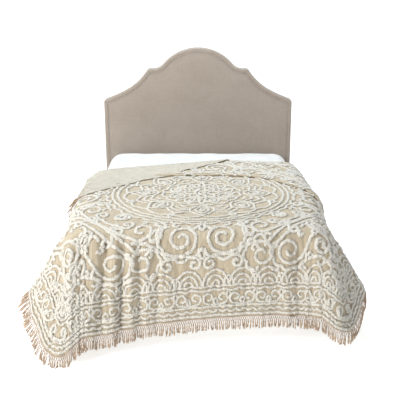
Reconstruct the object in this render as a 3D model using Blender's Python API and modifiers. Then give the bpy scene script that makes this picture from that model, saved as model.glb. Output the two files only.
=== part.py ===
"""A chenille bedspread on the bed it falls over: the cotton cloth, its fringe, and a plain bed with an arched headboard.

Metres, +Z up. The origin is on the floor under the centre leg. The foot of the bed points to -Y, the headboard to +Y.
"Across" runs along +X and "along" is the distance from the foot edge of the mattress towards the headboard.
"""

import math
from collections import namedtuple

import bmesh
import bpy
import numpy as np
from mathutils import Vector

COLLECTION_NAME = "chenille_bedspread_on_bed"
GAP = 0.0003

# Mattress and its box
MATTRESS_WIDTH = 1.53
MATTRESS_LENGTH = 2.03
MATTRESS_THICKNESS = 0.30
MATTRESS_CORNER = 0.13
MATTRESS_TOP_ROUND = 0.10
MATTRESS_BOTTOM_ROUND = 0.035
BED_TOP = 0.7477
FOUNDATION_HEIGHT = 0.22
FOUNDATION_INSET = 0.012
FOUNDATION_ROUND = 0.015

# Steel frame
RAIL_WIDTH = 0.04
RAIL_HEIGHT = 0.035
RAIL_SIDE_X = 0.66
RAIL_CROSS_Y = 0.72
RAIL_FOOT_END_Y = -0.94
LEG_RADIUS = 0.025

# Headboard: the panel's front face, its arched outline and its two struts
PANEL_FRONT_Y = 1.028
PANEL_THICKNESS = 0.075
PANEL_ROUND = 0.010
PANEL_BOTTOM = 0.35
PANEL_HALF_WIDTH = 0.817
HUMP_TOP = 1.645
HUMP_RADIUS = 0.39
HUMP_HALF_ANGLE = math.radians(49)
SHOULDER_NOTCH = (0.345, 1.470)
SHOULDER_TIP = (0.436, 1.457)
SWEEP_END = (0.795, 1.207)
OUTER_CORNER_RADIUS = 0.03
WELT_INSET = 0.045
WELT_RADIUS = 0.0045
STRUT_WIDTH = 0.06
STRUT_DEPTH = 0.025
STRUT_HEIGHT = 0.95

# Bedspread, flat
CLOTH_THICKNESS = 0.003
CLOTH_MIDDLE = BED_TOP + 0.0008 + CLOTH_THICKNESS / 2
HALF_MATTRESS = MATTRESS_WIDTH / 2
SIDE_FALL = 0.555
FOOT_FALL = 0.60
HALF_CLOTH = HALF_MATTRESS + SIDE_FALL
HEM_CORNER_RADIUS = 0.28
FRINGE_START = 0.0012
FRINGE_SPLAY = 0.05
FRINGE_HEADER = 0.034
FRINGE_LENGTH = 0.082
FRINGE_THICKNESS = 0.0025
FRINGE_SHARE = (0.22, 0.78)
FRINGE_SHORTEST_PITCH = 0.03

# How it was laid: a little to one side, the foot hem lower on the left
LAID_SHIFT = -0.012
SKEW_DROP = 0.046
SKEW_REACH = 0.5
SKEW_ENDS_ALONG = 0.5
LEFT_DROP = 0.047
LEFT_DROP_START = 0.25
LEFT_DROP_WIDTH = 0.45

# How it falls. It starts to bend this far inside the mattress's edges, and swings to its own direction over SWING.
INSET = 0.085
SWING = 0.22
BEND_EASE = 0.12
ARC_STEPS = 40

# One row for each place round the bed: "turn" is metres from the foot corner along the side (negative), 0 to 1 round
# the corner, and 1 plus metres from the corner along the foot. "heading" is the way that the cloth falls, in degrees
# from straight sideways (0) to straight footwards (90). "flare" is how far it ends from the vertical, in degrees, and
# "bend" is the length over which it turns down.
Fall = namedtuple("Fall", "turn heading flare bend")
RIGHT_FALLS = (
    Fall(-1.70, 0, 0, 0.22),
    Fall(-1.33, 0, 0, 0.30),
    Fall(-0.80, 0, 3, 0.36),
    Fall(-0.45, 0, 14, 0.30),
    Fall(-0.25, 0, 28, 0.23),
    Fall(0.0, 4, 34, 0.20),
    Fall(0.2, 27, 30, 0.22),
    Fall(0.4, 52, 27, 0.28),
    Fall(0.6, 68, 24, 0.36),
    Fall(0.8, 78, 17, 0.34),
    Fall(0.9, 84, 13, 0.28),
    Fall(1.0, 90, 11, 0.26),
    Fall(1.2, 90, 7, 0.28),
    Fall(1.68, 90, 6, 0.30),
)
LEFT_FALLS = (
    Fall(-1.70, 0, 0, 0.22),
    Fall(-1.33, 0, 0, 0.33),
    Fall(-0.80, 0, 3, 0.37),
    Fall(-0.45, 0, 14, 0.31),
    Fall(-0.25, 0, 26, 0.23),
    Fall(0.0, 4, 33, 0.20),
    Fall(0.2, 32, 31, 0.22),
    Fall(0.4, 58, 29, 0.25),
    Fall(0.6, 75, 27, 0.28),
    Fall(0.8, 86, 25, 0.28),
    Fall(0.9, 89, 24, 0.28),
    Fall(1.0, 90, 22, 0.28),
    Fall(1.15, 90, 17, 0.28),
    Fall(1.3, 90, 11, 0.30),
    Fall(1.68, 90, 6, 0.30),
)

# The tuck across the bed: where its edge lies, how deep it is and how far round each of its two bends goes
Tuck = namedtuple("Tuck", "across along depth bend_degrees")
TUCKS = (
    Tuck(-1.40, 0.92, 0.0, 0),
    Tuck(-0.55, 1.10, 0.0, 0),
    Tuck(-0.44, 1.15, 0.0, 0),
    Tuck(-0.34, 1.17, 0.0, 100),
    Tuck(-0.26, 1.18, 0.012, 180),
    Tuck(0.20, 1.18, 0.042, 180),
    Tuck(0.47, 1.12, 0.055, 180),
    Tuck(0.59, 1.02, 0.060, 180),
    Tuck(0.68, 0.92, 0.063, 180),
    Tuck(0.754, 0.835, 0.065, 180),
    Tuck(0.92, 0.72, 0.068, 180),
    Tuck(1.40, 0.56, 0.070, 180),
)
TUCK_RADIUS = 0.00225
TUCK_SETTLE = 0.08

# The head corner that is folded back on itself, about a line from this point on the head hem
FLAP_ACROSS = 0.30
FLAP_ALONG = 1.67
FLAP_ANGLE = math.radians(18)
FLAP_RADIUS = 0.0055
FLAP_GAP = 0.0048
FLAP_SETTLE = 0.07

# Grid of the cloth solid: a column for each place across, and rows in bands
SIDE_COLUMNS = 11
TOP_COLUMNS = 15
COLUMNS_BESIDE_FLAP = (-0.06, -0.03, -0.015, 0.0)
FOOT_ROWS = 13
BED_ROWS = 8
BEND_ROWS = 3
HEAD_ROWS = 7
FLAP_BEND_ROWS = 4
FLAP_ROWS = 7
FOOT_ROWS_END = 0.15


def smooth_step(value):
    """0 below 0, 1 above 1, and a smooth rise between."""
    value = np.clip(value, 0, 1)
    return value * value * (3 - 2 * value)


def read_table(rows, key, column, at):
    """A column of a table at these places, by a smooth curve that never overshoots its rows."""
    places = np.array([getattr(row, key) for row in rows], float)
    values = np.array([getattr(row, column) for row in rows], float)
    width = np.diff(places)
    rise = np.diff(values) / width
    slope = np.zeros_like(values)
    slope[0], slope[-1] = rise[0], rise[-1]
    for i in range(1, len(values) - 1):
        if rise[i - 1] * rise[i] > 0:
            before, after = 2 * width[i] + width[i - 1], width[i] + 2 * width[i - 1]
            slope[i] = (before + after) / (before / rise[i - 1] + after / rise[i])
    at = np.clip(at, places[0], places[-1])
    i = np.clip(np.searchsorted(places, at) - 1, 0, len(width) - 1)
    t = (at - places[i]) / width[i]
    return (
        (1 + 2 * t) * (1 - t) ** 2 * values[i]
        + t * (1 - t) ** 2 * width[i] * slope[i]
        + t * t * (3 - 2 * t) * values[i + 1]
        + t * t * (t - 1) * width[i] * slope[i + 1]
    )


def fall_at(across, along):
    """Where the cloth lies (x, y, z) for places on the flat cloth, measured from the bed's foot edge."""
    core = HALF_MATTRESS - INSET
    core_x, core_along = np.clip(across, -core, core), np.maximum(along, INSET)
    out, down = np.abs(across - core_x), core_along - along
    length = np.hypot(out, down)
    corner = np.arctan2(down, out)
    on_side, on_foot = along > INSET, np.abs(across) <= core
    turn = np.where(on_side, INSET - along, np.where(on_foot, 1 + core - np.abs(across), corner / (math.pi / 2)))
    right, left = (
        [read_table(rows, "turn", name, turn) for name in ("heading", "flare", "bend")] for rows in (RIGHT_FALLS, LEFT_FALLS)
    )
    heading, flare, bend = (np.where(across >= 0, r, l) for r, l in zip(right, left))
    starts = np.where(on_side, 0, np.where(on_foot, math.pi / 2, corner))
    turned = np.radians(heading) - starts
    reach_x, reach_y, drop = np.zeros_like(length), np.zeros_like(length), np.zeros_like(length)
    for k in range(ARC_STEPS):
        here = (k + 0.5) / ARC_STEPS * length
        share = np.clip(here / bend, 0, 1)
        slope = (math.pi / 2 - np.radians(flare)) * (share - BEND_EASE * np.sin(2 * math.pi * share))
        way = starts + turned * smooth_step(here / SWING)
        reach_x += np.cos(slope) * np.cos(way)
        reach_y += np.cos(slope) * np.sin(way)
        drop += np.sin(slope)
    step = length / ARC_STEPS
    x = core_x + np.sign(across) * reach_x * step
    y = core_along - reach_y * step - MATTRESS_LENGTH / 2
    return np.stack([x, y, CLOTH_MIDDLE - drop * step], -1)


def tuck_at(across):
    """(start, depth, bend) of the tuck for places across the cloth."""
    edge, depth, bend = (read_table(TUCKS, "across", name, across) for name in ("along", "depth", "bend_degrees"))
    return edge + depth, depth, np.radians(bend)


def tuck_take_up(across):
    """The length of cloth that the tuck takes up."""
    _, depth, bend = tuck_at(across)
    return 2 * TUCK_RADIUS * (bend - np.sin(bend)) + depth * (1 - np.cos(bend))


HEAD_HEM = FLAP_ALONG + float(tuck_take_up(FLAP_ACROSS))


def tucked(across, along):
    """(along, lift) after the tuck: a Z of two bends that turn back on the cloth below."""
    start, depth, bend = tuck_at(across)
    past = along - start
    first = np.clip(past / TUCK_RADIUS, 0, bend)
    middle = np.clip(past - TUCK_RADIUS * bend, 0, depth)
    second = np.clip((past - TUCK_RADIUS * bend - depth) / TUCK_RADIUS, 0, bend)
    rest = np.maximum(past - 2 * TUCK_RADIUS * bend - depth, 0)
    moved = TUCK_RADIUS * (np.sin(first) + np.sin(bend) - np.sin(bend - second)) + middle * np.cos(bend)
    lift = TUCK_RADIUS * (1 - np.cos(first) + np.cos(bend - second) - np.cos(bend)) + middle * np.sin(bend)
    lift = lift * (1 - smooth_step((rest - depth) / TUCK_SETTLE))
    return np.where(past < 0, along, start + moved + rest), lift


def past_flap_line(across, along):
    """How far these places lie beyond the line that the head corner is folded about."""
    return (along - FLAP_ALONG) * math.cos(FLAP_ANGLE) - (across - FLAP_ACROSS) * math.sin(FLAP_ANGLE)


def folded(across, along):
    """(across, along, lift) after the tuck and the folded corner."""
    along, lift = tucked(across, along)
    past = past_flap_line(across, along)
    bent = FLAP_RADIUS * np.sin(np.clip(past / FLAP_RADIUS, 0, math.pi))
    back = np.maximum(past - math.pi * FLAP_RADIUS, 0)
    height = FLAP_RADIUS * (1 - np.cos(np.clip(past / FLAP_RADIUS, 0, math.pi)))
    height = height - (2 * FLAP_RADIUS - FLAP_GAP) * smooth_step(back / FLAP_SETTLE)
    move = np.where(past > 0, bent - back - past, 0)
    across = across - move * math.sin(FLAP_ANGLE)
    along = along + move * math.cos(FLAP_ANGLE)
    return across, along, lift + np.where(past > 0, height, 0)


def laid(across, along):
    """Flat cloth to flat bed: shifted sideways, and skewed towards the foot."""
    share = smooth_step((SKEW_ENDS_ALONG - along) / SKEW_ENDS_ALONG)
    pulled = LEFT_DROP * smooth_step((-across - LEFT_DROP_START) / LEFT_DROP_WIDTH)
    return across + LAID_SHIFT, along + (SKEW_DROP * np.tanh(across / SKEW_REACH) - pulled) * share


def with_round_corners(across, along):
    """Draws the square foot corners of the cloth's grid in to their round cut."""
    square_x, square_along = HALF_CLOTH - HEM_CORNER_RADIUS, HEM_CORNER_RADIUS - FOOT_FALL
    i = np.clip((np.abs(across) - square_x) / HEM_CORNER_RADIUS, 0, None)
    j = np.clip((square_along - along) / HEM_CORNER_RADIUS, 0, None)
    in_corner = (i > 0) & (j > 0)
    round_x = np.sign(across) * (square_x + HEM_CORNER_RADIUS * i * np.sqrt(np.maximum(1 - j * j / 2, 0)))
    round_along = square_along - HEM_CORNER_RADIUS * j * np.sqrt(np.maximum(1 - i * i / 2, 0))
    return np.where(in_corner, round_x, across), np.where(in_corner, round_along, along)


def cloth_at(across, along):
    """The middle of the draped cloth (x, y, z) for places on the flat cloth."""
    across, along, lift = folded(*laid(across, along))
    step = 0.002
    here = fall_at(across, along)
    over = fall_at(across + step, along) - fall_at(across - step, along)
    up = fall_at(across, along + step) - fall_at(across, along - step)
    normal = np.cross(over, up)
    normal /= np.linalg.norm(normal, axis=-1, keepdims=True)
    return here + normal * lift[..., None]


def columns():
    """The cloth's places across, closer together where the flap starts."""
    core = HALF_MATTRESS - INSET
    side = np.linspace(core, HALF_CLOTH, SIDE_COLUMNS + 1)[1:]
    top = np.linspace(-core, core, TOP_COLUMNS + 1)
    flap_start = FLAP_ACROSS - LAID_SHIFT
    top = top[(top < flap_start + COLUMNS_BESIDE_FLAP[0] - 0.02) | (top > flap_start + 0.03)]
    return np.sort(np.concatenate([-side, top, flap_start + np.array(COLUMNS_BESIDE_FLAP), side]))


def rows_of(across):
    """The places along the cloth of one column's rows, from the foot hem to the head hem."""
    laid_across = across + LAID_SHIFT
    start, depth, bend = (float(value) for value in tuck_at(laid_across))
    arc = TUCK_RADIUS * bend
    bends = [start + arc * k / BEND_ROWS for k in range(BEND_ROWS + 1)]
    bends += [start + arc + depth + arc * k / BEND_ROWS for k in range(BEND_ROWS + 1)]
    take_up = float(tuck_take_up(laid_across))
    hem_past = max(past_flap_line(laid_across, HEAD_HEM - take_up), 0) if laid_across < FLAP_ACROSS else 0
    per_past = 1 / math.cos(FLAP_ANGLE)
    crest = HEAD_HEM - hem_past * per_past
    count = FLAP_BEND_ROWS + FLAP_ROWS
    half_turn = math.pi * FLAP_RADIUS
    flap_bend = [min(half_turn * k / FLAP_BEND_ROWS, hem_past * k / count) for k in range(1, FLAP_BEND_ROWS + 1)]
    flap = np.linspace(flap_bend[-1], hem_past, FLAP_ROWS + 1)[1:]
    return np.concatenate([
        np.linspace(-FOOT_FALL, FOOT_ROWS_END, FOOT_ROWS + 1)[:-1],
        np.linspace(FOOT_ROWS_END, start, BED_ROWS + 1)[:-1],
        bends,
        np.linspace(bends[-1], crest, HEAD_ROWS + 1)[1:],
        crest + np.array(flap_bend) * per_past,
        crest + flap * per_past,
    ])


def cloth_grid():
    """(flat, draped): the grid's places on the flat cloth and in space, as arrays of rows and columns."""
    across = columns()
    along = np.stack([rows_of(place) for place in across], 1)
    across = np.broadcast_to(across, along.shape)
    across, along = with_round_corners(across, along)
    return np.stack([across, along], -1), cloth_at(across, along)


def material(name, colour, roughness, metallic=0.0):
    made = bpy.data.materials.new(name)
    made.use_nodes = True
    shader = made.node_tree.nodes["Principled BSDF"]
    shader.inputs["Base Color"].default_value = (*colour, 1)
    shader.inputs["Roughness"].default_value = roughness
    shader.inputs["Metallic"].default_value = metallic
    made.diffuse_color = (*colour, 1)
    return made


def add_object(name, data, finish, collection, parent):
    made = bpy.data.objects.new(name, data)
    data.materials.append(finish)
    made.parent = parent
    collection.objects.link(made)
    return made


def mesh_from(bm, name):
    mesh = bpy.data.meshes.new(name)
    bm.to_mesh(mesh)
    bm.free()
    return mesh


def thicken(made, thickness):
    solidify = made.modifiers.new("thickness", "SOLIDIFY")
    solidify.thickness = thickness
    solidify.offset = 0


def surface_mesh(name, grid):
    """A mesh grid with its points at these places; rows that fall together are merged."""
    count_rows, count_columns = grid.shape[:2]
    bm = bmesh.new()
    bmesh.ops.create_grid(bm, x_segments=count_columns - 1, y_segments=count_rows - 1, size=1)
    for vert in bm.verts:
        column = round((vert.co.x + 1) / 2 * (count_columns - 1))
        row = round((vert.co.y + 1) / 2 * (count_rows - 1))
        vert.co = Vector(grid[row, column])
    bmesh.ops.remove_doubles(bm, verts=bm.verts, dist=1e-5)
    return mesh_from(bm, name)


def build_cloth(flat, draped, place):
    cotton = material("cotton_ground", (0.61, 0.54, 0.42), 0.9)
    cloth = add_object("bedspread_cloth", surface_mesh("bedspread_cloth", draped), cotton, *place)
    cloth.data.shade_smooth()
    thicken(cloth, CLOTH_THICKNESS)


def hem_path(flat, draped):
    """(flat, draped) places along the fringed hem: down the right side, across the foot and up the left."""
    paths = []
    for grid in (flat, draped):
        right, foot, left = grid[::-1, -1], grid[0, ::-1], grid[:, 0]
        paths.append(np.concatenate([right, foot[1:], left[1:]]))
    apart = np.linalg.norm(np.diff(paths[1], axis=0), axis=1) > 1e-5
    keep = np.concatenate([[True], apart])
    return paths[0][keep], paths[1][keep]


def hem_directions(flat, draped):
    """The way that the fringe continues from each place on the hem, standing off a little."""
    tangent = np.gradient(flat, axis=0)
    outward = np.stack([-tangent[:, 1], tangent[:, 0]], -1)
    outward /= np.linalg.norm(outward, axis=1, keepdims=True)
    beyond = flat + outward * 0.004
    ahead = cloth_at(beyond[:, 0], beyond[:, 1]) - draped
    ahead /= np.linalg.norm(ahead, axis=1, keepdims=True)
    off = np.cross(ahead, np.gradient(draped, axis=0))
    off /= np.linalg.norm(off, axis=1, keepdims=True)
    outside = np.sign((off[:, :2] * draped[:, :2]).sum(1, keepdims=True))
    way = ahead + off * outside * FRINGE_SPLAY
    return way / np.linalg.norm(way, axis=1, keepdims=True)


def build_fringe(flat, draped, place):
    """One comb: a band below the hem, and a tooth in each stretch that is long enough for one."""
    flat, hem = hem_path(flat, draped)
    way = hem_directions(flat, hem)
    points, ways, toothed = [hem[0]], [way[0]], []
    for i in range(len(hem) - 1):
        long_enough = np.linalg.norm(hem[i + 1] - hem[i]) > FRINGE_SHORTEST_PITCH
        for share in (*FRINGE_SHARE, 1.0) if long_enough else (1.0,):
            toothed.append(long_enough and share == FRINGE_SHARE[1])
            points.append(hem[i] + (hem[i + 1] - hem[i]) * share)
            ways.append(way[i] + (way[i + 1] - way[i]) * share)
    points, ways = np.array(points), np.array(ways)
    bm = bmesh.new()
    bmesh.ops.create_grid(bm, x_segments=len(points) - 1, y_segments=1, size=1)
    for vert in bm.verts:
        index = round((vert.co.x + 1) / 2 * (len(points) - 1))
        vert.co = Vector(points[index] + ways[index] * (FRINGE_START if vert.co.y > 0 else FRINGE_HEADER))
    lower = [edge for edge in bm.edges if edge.is_boundary]
    ends = points + ways * FRINGE_HEADER
    for edge in lower:
        places = [int(np.argmin(np.linalg.norm(ends - np.array(vert.co), axis=1))) for vert in edge.verts]
        on_band = all(np.linalg.norm(ends[k] - np.array(vert.co)) < 1e-6 for k, vert in zip(places, edge.verts))
        if not on_band or abs(places[0] - places[1]) != 1 or not toothed[min(places)]:
            continue
        made = bmesh.ops.extrude_edge_only(bm, edges=[edge])["geom"]
        for vert in (part for part in made if isinstance(part, bmesh.types.BMVert)):
            index = int(np.argmin(np.linalg.norm(ends - np.array(vert.co), axis=1)))
            vert.co = Vector(points[index] + ways[index] * FRINGE_LENGTH)
    bmesh.ops.recalc_face_normals(bm, faces=bm.faces)
    yarn = material("fringe_yarn", (0.47, 0.34, 0.23), 0.95)
    fringe = add_object("fringe", mesh_from(bm, "fringe"), yarn, *place)
    thicken(fringe, FRINGE_THICKNESS)


def box_mesh(name, size, bevels=()):
    """A box centred on its origin. Each bevel is (which edges, width, segments)."""
    bm = bmesh.new()
    bmesh.ops.create_cube(bm, size=1)
    bmesh.ops.scale(bm, vec=size, verts=bm.verts)
    for chosen, width, segments in bevels:
        edges = [edge for edge in bm.edges if chosen(edge, size)]
        bmesh.ops.bevel(bm, geom=edges, offset=width, segments=segments, profile=0.5, affect="EDGES")
    return mesh_from(bm, name)


def upright(edge, size):
    return abs(edge.verts[0].co.z - edge.verts[1].co.z) > size[2] / 2


def on_top(edge, size):
    return all(vert.co.z > size[2] / 2 - 1e-6 for vert in edge.verts) and len(edge.link_faces) == 2 and not flat(edge)


def on_bottom(edge, size):
    return all(vert.co.z < 1e-6 - size[2] / 2 for vert in edge.verts) and not flat(edge)


def flat(edge):
    return edge.calc_face_angle(0) < 0.1


def every(edge, size):
    return True


def build_mattress(place):
    size = (MATTRESS_WIDTH, MATTRESS_LENGTH, MATTRESS_THICKNESS)
    bevels = (
        (upright, MATTRESS_CORNER, 6),
        (on_top, MATTRESS_TOP_ROUND, 6),
        (on_bottom, MATTRESS_BOTTOM_ROUND, 2),
    )
    cover = material("white_cover", (0.83, 0.83, 0.82), 0.85)
    mattress = add_object("mattress", box_mesh("mattress", size, bevels), cover, *place)
    mattress.location.z = BED_TOP - MATTRESS_THICKNESS / 2


def foundation_bottom():
    return BED_TOP - MATTRESS_THICKNESS - GAP - FOUNDATION_HEIGHT


def build_foundation(place):
    size = (MATTRESS_WIDTH - 2 * FOUNDATION_INSET, MATTRESS_LENGTH - 2 * FOUNDATION_INSET, FOUNDATION_HEIGHT)
    cover = material("foundation_cover", (0.72, 0.70, 0.66), 0.9)
    mesh = box_mesh("foundation", size, ((every, FOUNDATION_ROUND, 2),))
    foundation = add_object("foundation", mesh, cover, *place)
    foundation.location.z = foundation_bottom() + FOUNDATION_HEIGHT / 2


def build_frame(place):
    """Side, cross and centre rails, a leg under each corner and one in the middle."""
    steel = material("frame_steel", (0.12, 0.12, 0.13), 0.45, 0.8)
    top = foundation_bottom() - GAP
    middle = top - RAIL_HEIGHT / 2
    side_end = PANEL_FRONT_Y + PANEL_THICKNESS
    side_length = side_end - RAIL_FOOT_END_Y
    cross_length = 2 * (RAIL_SIDE_X - RAIL_WIDTH / 2 - GAP)
    centre_length = 2 * (RAIL_CROSS_Y - RAIL_WIDTH / 2 - GAP)
    rails = (
        ("rail_left", (RAIL_WIDTH, side_length), (-RAIL_SIDE_X, (side_end + RAIL_FOOT_END_Y) / 2)),
        ("rail_right", (RAIL_WIDTH, side_length), (RAIL_SIDE_X, (side_end + RAIL_FOOT_END_Y) / 2)),
        ("rail_foot", (cross_length, RAIL_WIDTH), (0, -RAIL_CROSS_Y)),
        ("rail_head", (cross_length, RAIL_WIDTH), (0, RAIL_CROSS_Y)),
        ("rail_centre", (RAIL_WIDTH, centre_length), (0, 0)),
    )
    for name, (width, length), (x, y) in rails:
        mesh = box_mesh(name, (width, length, RAIL_HEIGHT), ((every, 0.003, 1),))
        add_object(name, mesh, steel, *place).location = (x, y, middle)
    leg_height = top - RAIL_HEIGHT - GAP
    legs = {"leg_centre": (0, 0)}
    for end, y in (("foot", -RAIL_CROSS_Y), ("head", RAIL_CROSS_Y)):
        for side, x in (("left", -RAIL_SIDE_X), ("right", RAIL_SIDE_X)):
            legs[f"leg_{end}_{side}"] = (x, y)
    for name, (x, y) in legs.items():
        bm = bmesh.new()
        bmesh.ops.create_cone(
            bm, cap_ends=True, segments=20, radius1=LEG_RADIUS, radius2=LEG_RADIUS, depth=leg_height
        )
        add_object(name, mesh_from(bm, name), steel, *place).location = (x, y, leg_height / 2)


def arc(centre, radius, start, end, steps):
    """Points from one angle to the other; angles are measured from +X towards +Z."""
    angles = [start + (end - start) * k / steps for k in range(steps + 1)]
    return [(centre[0] + radius * math.cos(a), centre[1] + radius * math.sin(a)) for a in angles]


def bezier(start, first, second, end, steps):
    """Points on a cubic curve from start to end, with its two handles."""
    points = []
    for k in range(steps + 1):
        t = k / steps
        weights = ((1 - t) ** 3, 3 * t * (1 - t) ** 2, 3 * t * t * (1 - t), t**3)
        points.append(tuple(sum(w * p[i] for w, p in zip(weights, (start, first, second, end))) for i in (0, 1)))
    return points


def headboard_outline():
    """The panel's outline (x, z), from its bottom left corner round over the arch."""
    centre = (0, HUMP_TOP - HUMP_RADIUS)
    right = arc(centre, HUMP_RADIUS, math.pi / 2, math.pi / 2 - HUMP_HALF_ANGLE, 10)
    hump_x, hump_z = right[-1]
    right += bezier((hump_x, hump_z), (hump_x + 0.022, hump_z - 0.026), SHOULDER_NOTCH, (0.375, 1.468), 4)[1:]
    right += bezier((0.375, 1.468), (0.405, 1.467), (0.425, 1.472), SHOULDER_TIP, 4)[1:]
    right += bezier(SHOULDER_TIP, (0.530, 1.315), (0.645, 1.264), SWEEP_END, 12)[1:]
    corner = (PANEL_HALF_WIDTH - OUTER_CORNER_RADIUS, SWEEP_END[1] - OUTER_CORNER_RADIUS)
    right += arc(corner, OUTER_CORNER_RADIUS, math.radians(62), 0, 4)
    right.append((PANEL_HALF_WIDTH, PANEL_BOTTOM))
    left = [(-x, z) for x, z in reversed(right[1:])]
    return left + right


def inset_outline(points, distance):
    """The outline moved inwards, without the loops that tight corners would leave."""
    points = np.array(points)
    ahead = np.roll(points, -1, 0) - points
    ahead /= np.linalg.norm(ahead, axis=1, keepdims=True)
    along = ahead + np.roll(ahead, 1, 0)
    along /= np.linalg.norm(along, axis=1, keepdims=True)
    inward = np.stack([along[:, 1], -along[:, 0]], 1)
    spread = distance / np.maximum((along * ahead).sum(1), 0.6)
    moved = points + inward * spread[:, None]
    span = np.roll(points, -1, 0) - points
    kept = []
    for point in moved:
        share = np.clip(((point - points) * span).sum(1) / (span**2).sum(1), 0, 1)
        nearest = np.linalg.norm(points + span * share[:, None] - point, axis=1).min()
        if nearest > distance * 0.97:
            kept.append(tuple(point))
    return kept


def closed_curve(name, points, dimensions):
    """A closed poly curve through (x, z) points, standing upright across the bed."""
    curve = bpy.data.curves.new(name, "CURVE")
    curve.dimensions = dimensions
    spline = curve.splines.new("POLY")
    spline.points.add(len(points) - 1)
    for point, (x, z) in zip(spline.points, points):
        point.co = (x, z, 0, 1)
    spline.use_cyclic_u = True
    return curve


def build_headboard(place):
    linen = material("headboard_linen", (0.41, 0.35, 0.29), 0.95)
    outline = headboard_outline()
    panel = closed_curve("headboard_panel", outline, "2D")
    panel.fill_mode = "BOTH"
    panel.extrude = PANEL_THICKNESS / 2
    made = add_object("headboard_panel", panel, linen, *place)
    made.rotation_euler.x = math.pi / 2
    made.location.y = PANEL_FRONT_Y + PANEL_THICKNESS / 2
    weld = made.modifiers.new("weld", "WELD")
    weld.merge_threshold = 1e-5
    rounding = made.modifiers.new("rounded_edges", "BEVEL")
    rounding.width = PANEL_ROUND
    rounding.segments = 2
    rounding.limit_method = "ANGLE"
    rounding.angle_limit = math.radians(60)
    welt = closed_curve("headboard_welt", inset_outline(outline, WELT_INSET), "3D")
    welt.bevel_depth = WELT_RADIUS
    welt.bevel_resolution = 1
    welt_finish = material("welt_linen", (0.36, 0.31, 0.25), 0.95)
    made = add_object("headboard_welt", welt, welt_finish, *place)
    made.rotation_euler.x = math.pi / 2
    made.location.y = PANEL_FRONT_Y - WELT_RADIUS - GAP
    timber = material("strut_timber", (0.25, 0.17, 0.10), 0.6)
    strut_y = PANEL_FRONT_Y + PANEL_THICKNESS + GAP + STRUT_DEPTH / 2
    for name, x in (("headboard_strut_left", -RAIL_SIDE_X), ("headboard_strut_right", RAIL_SIDE_X)):
        mesh = box_mesh(name, (STRUT_WIDTH, STRUT_DEPTH, STRUT_HEIGHT), ((upright, 0.004, 1),))
        add_object(name, mesh, timber, *place).location = (x, strut_y, STRUT_HEIGHT / 2)


def main():
    for old in list(bpy.data.objects):
        bpy.data.objects.remove(old, do_unlink=True)
    collection = bpy.data.collections.new(COLLECTION_NAME)
    bpy.context.scene.collection.children.link(collection)
    bed = bpy.data.objects.new("bed", None)
    collection.objects.link(bed)
    place = (collection, bed)
    grids = cloth_grid()
    build_cloth(*grids, place)
    build_fringe(*grids, place)
    build_mattress(place)
    build_foundation(place)
    build_frame(place)
    build_headboard(place)


main()
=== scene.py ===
"""The looks of a tufted cotton bedspread and the plain bed that it falls over.

Metres, +Z up. The foot of the bed points to -Y. "Across" and "along" are places on the flat cloth: across
runs to +X from the bed's middle line, and along runs from the mattress's foot edge towards the headboard.
"""

import logging
import math
from dataclasses import dataclass, field
from enum import Enum
from math import pi
from typing import Iterable, NamedTuple, Union

import bpy
import numpy as np
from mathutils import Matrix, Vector


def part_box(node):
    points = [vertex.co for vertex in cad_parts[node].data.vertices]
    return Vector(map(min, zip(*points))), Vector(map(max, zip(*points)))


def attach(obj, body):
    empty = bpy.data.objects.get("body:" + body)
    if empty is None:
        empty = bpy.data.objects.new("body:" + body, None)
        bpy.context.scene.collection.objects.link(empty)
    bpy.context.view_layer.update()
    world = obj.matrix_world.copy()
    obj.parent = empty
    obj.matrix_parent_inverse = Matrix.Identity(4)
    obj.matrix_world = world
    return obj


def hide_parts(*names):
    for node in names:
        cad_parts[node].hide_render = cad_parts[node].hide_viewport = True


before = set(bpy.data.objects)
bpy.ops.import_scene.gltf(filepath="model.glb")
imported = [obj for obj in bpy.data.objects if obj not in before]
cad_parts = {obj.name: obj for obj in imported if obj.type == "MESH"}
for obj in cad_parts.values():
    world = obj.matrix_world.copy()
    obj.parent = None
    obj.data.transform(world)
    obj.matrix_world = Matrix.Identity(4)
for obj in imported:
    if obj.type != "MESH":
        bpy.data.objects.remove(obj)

log = logging.getLogger("bedspread")

Array = np.ndarray
Arrays = tuple[Array, Array]
Colour = tuple[float, float, float]
Triple = tuple[float, float, float]
Pair = tuple[float, float]
Chance = np.random.Generator
Material, Piece, Socket = bpy.types.Material, bpy.types.Object, bpy.types.NodeSocket
BODY = "root"
SMOOTH = {"interpolation_type": "SMOOTHSTEP"}
SEED = 20
join = np.concatenate


# -- Shaders --


class Signal:
    """A number socket of a shader. Arithmetic on it adds Math nodes."""

    def __init__(self, shader: "Shader", socket: Socket) -> None:
        """Wraps an output socket of the shader."""
        self.shader = shader
        self.socket = socket

    def _math(self, operation: str, *values: "Value") -> "Signal":
        """Adds a Math node for the operation, with its inputs in order."""
        node = self.shader.add("ShaderNodeMath", {"operation": operation}, dict(enumerate(values)))
        return Signal(self.shader, node.outputs[0])

    def __add__(self, other: "Value") -> "Signal":
        """This plus other."""
        return self._math("ADD", self, other)

    __radd__ = __add__

    def __sub__(self, other: "Value") -> "Signal":
        """This minus other."""
        return self._math("SUBTRACT", self, other)

    def __rsub__(self, other: "Value") -> "Signal":
        """Other minus this."""
        return self._math("SUBTRACT", other, self)

    def __mul__(self, other: "Value") -> "Signal":
        """This times other."""
        return self._math("MULTIPLY", self, other)

    __rmul__ = __mul__

    def __abs__(self) -> "Signal":
        """This without its sign."""
        return self._math("ABSOLUTE", self)

    def sine(self) -> "Signal":
        """The sine of this, in radians."""
        return self._math("SINE", self)

    def rise(self, low: float, high: float) -> "Signal":
        """A smooth step: 0 where this is under low, 1 where it is over high."""
        node = self.shader.add("ShaderNodeMapRange", SMOOTH, {0: self, 1: low, 2: high})
        return Signal(self.shader, node.outputs[0])


Value = Union[Signal, float]


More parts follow.
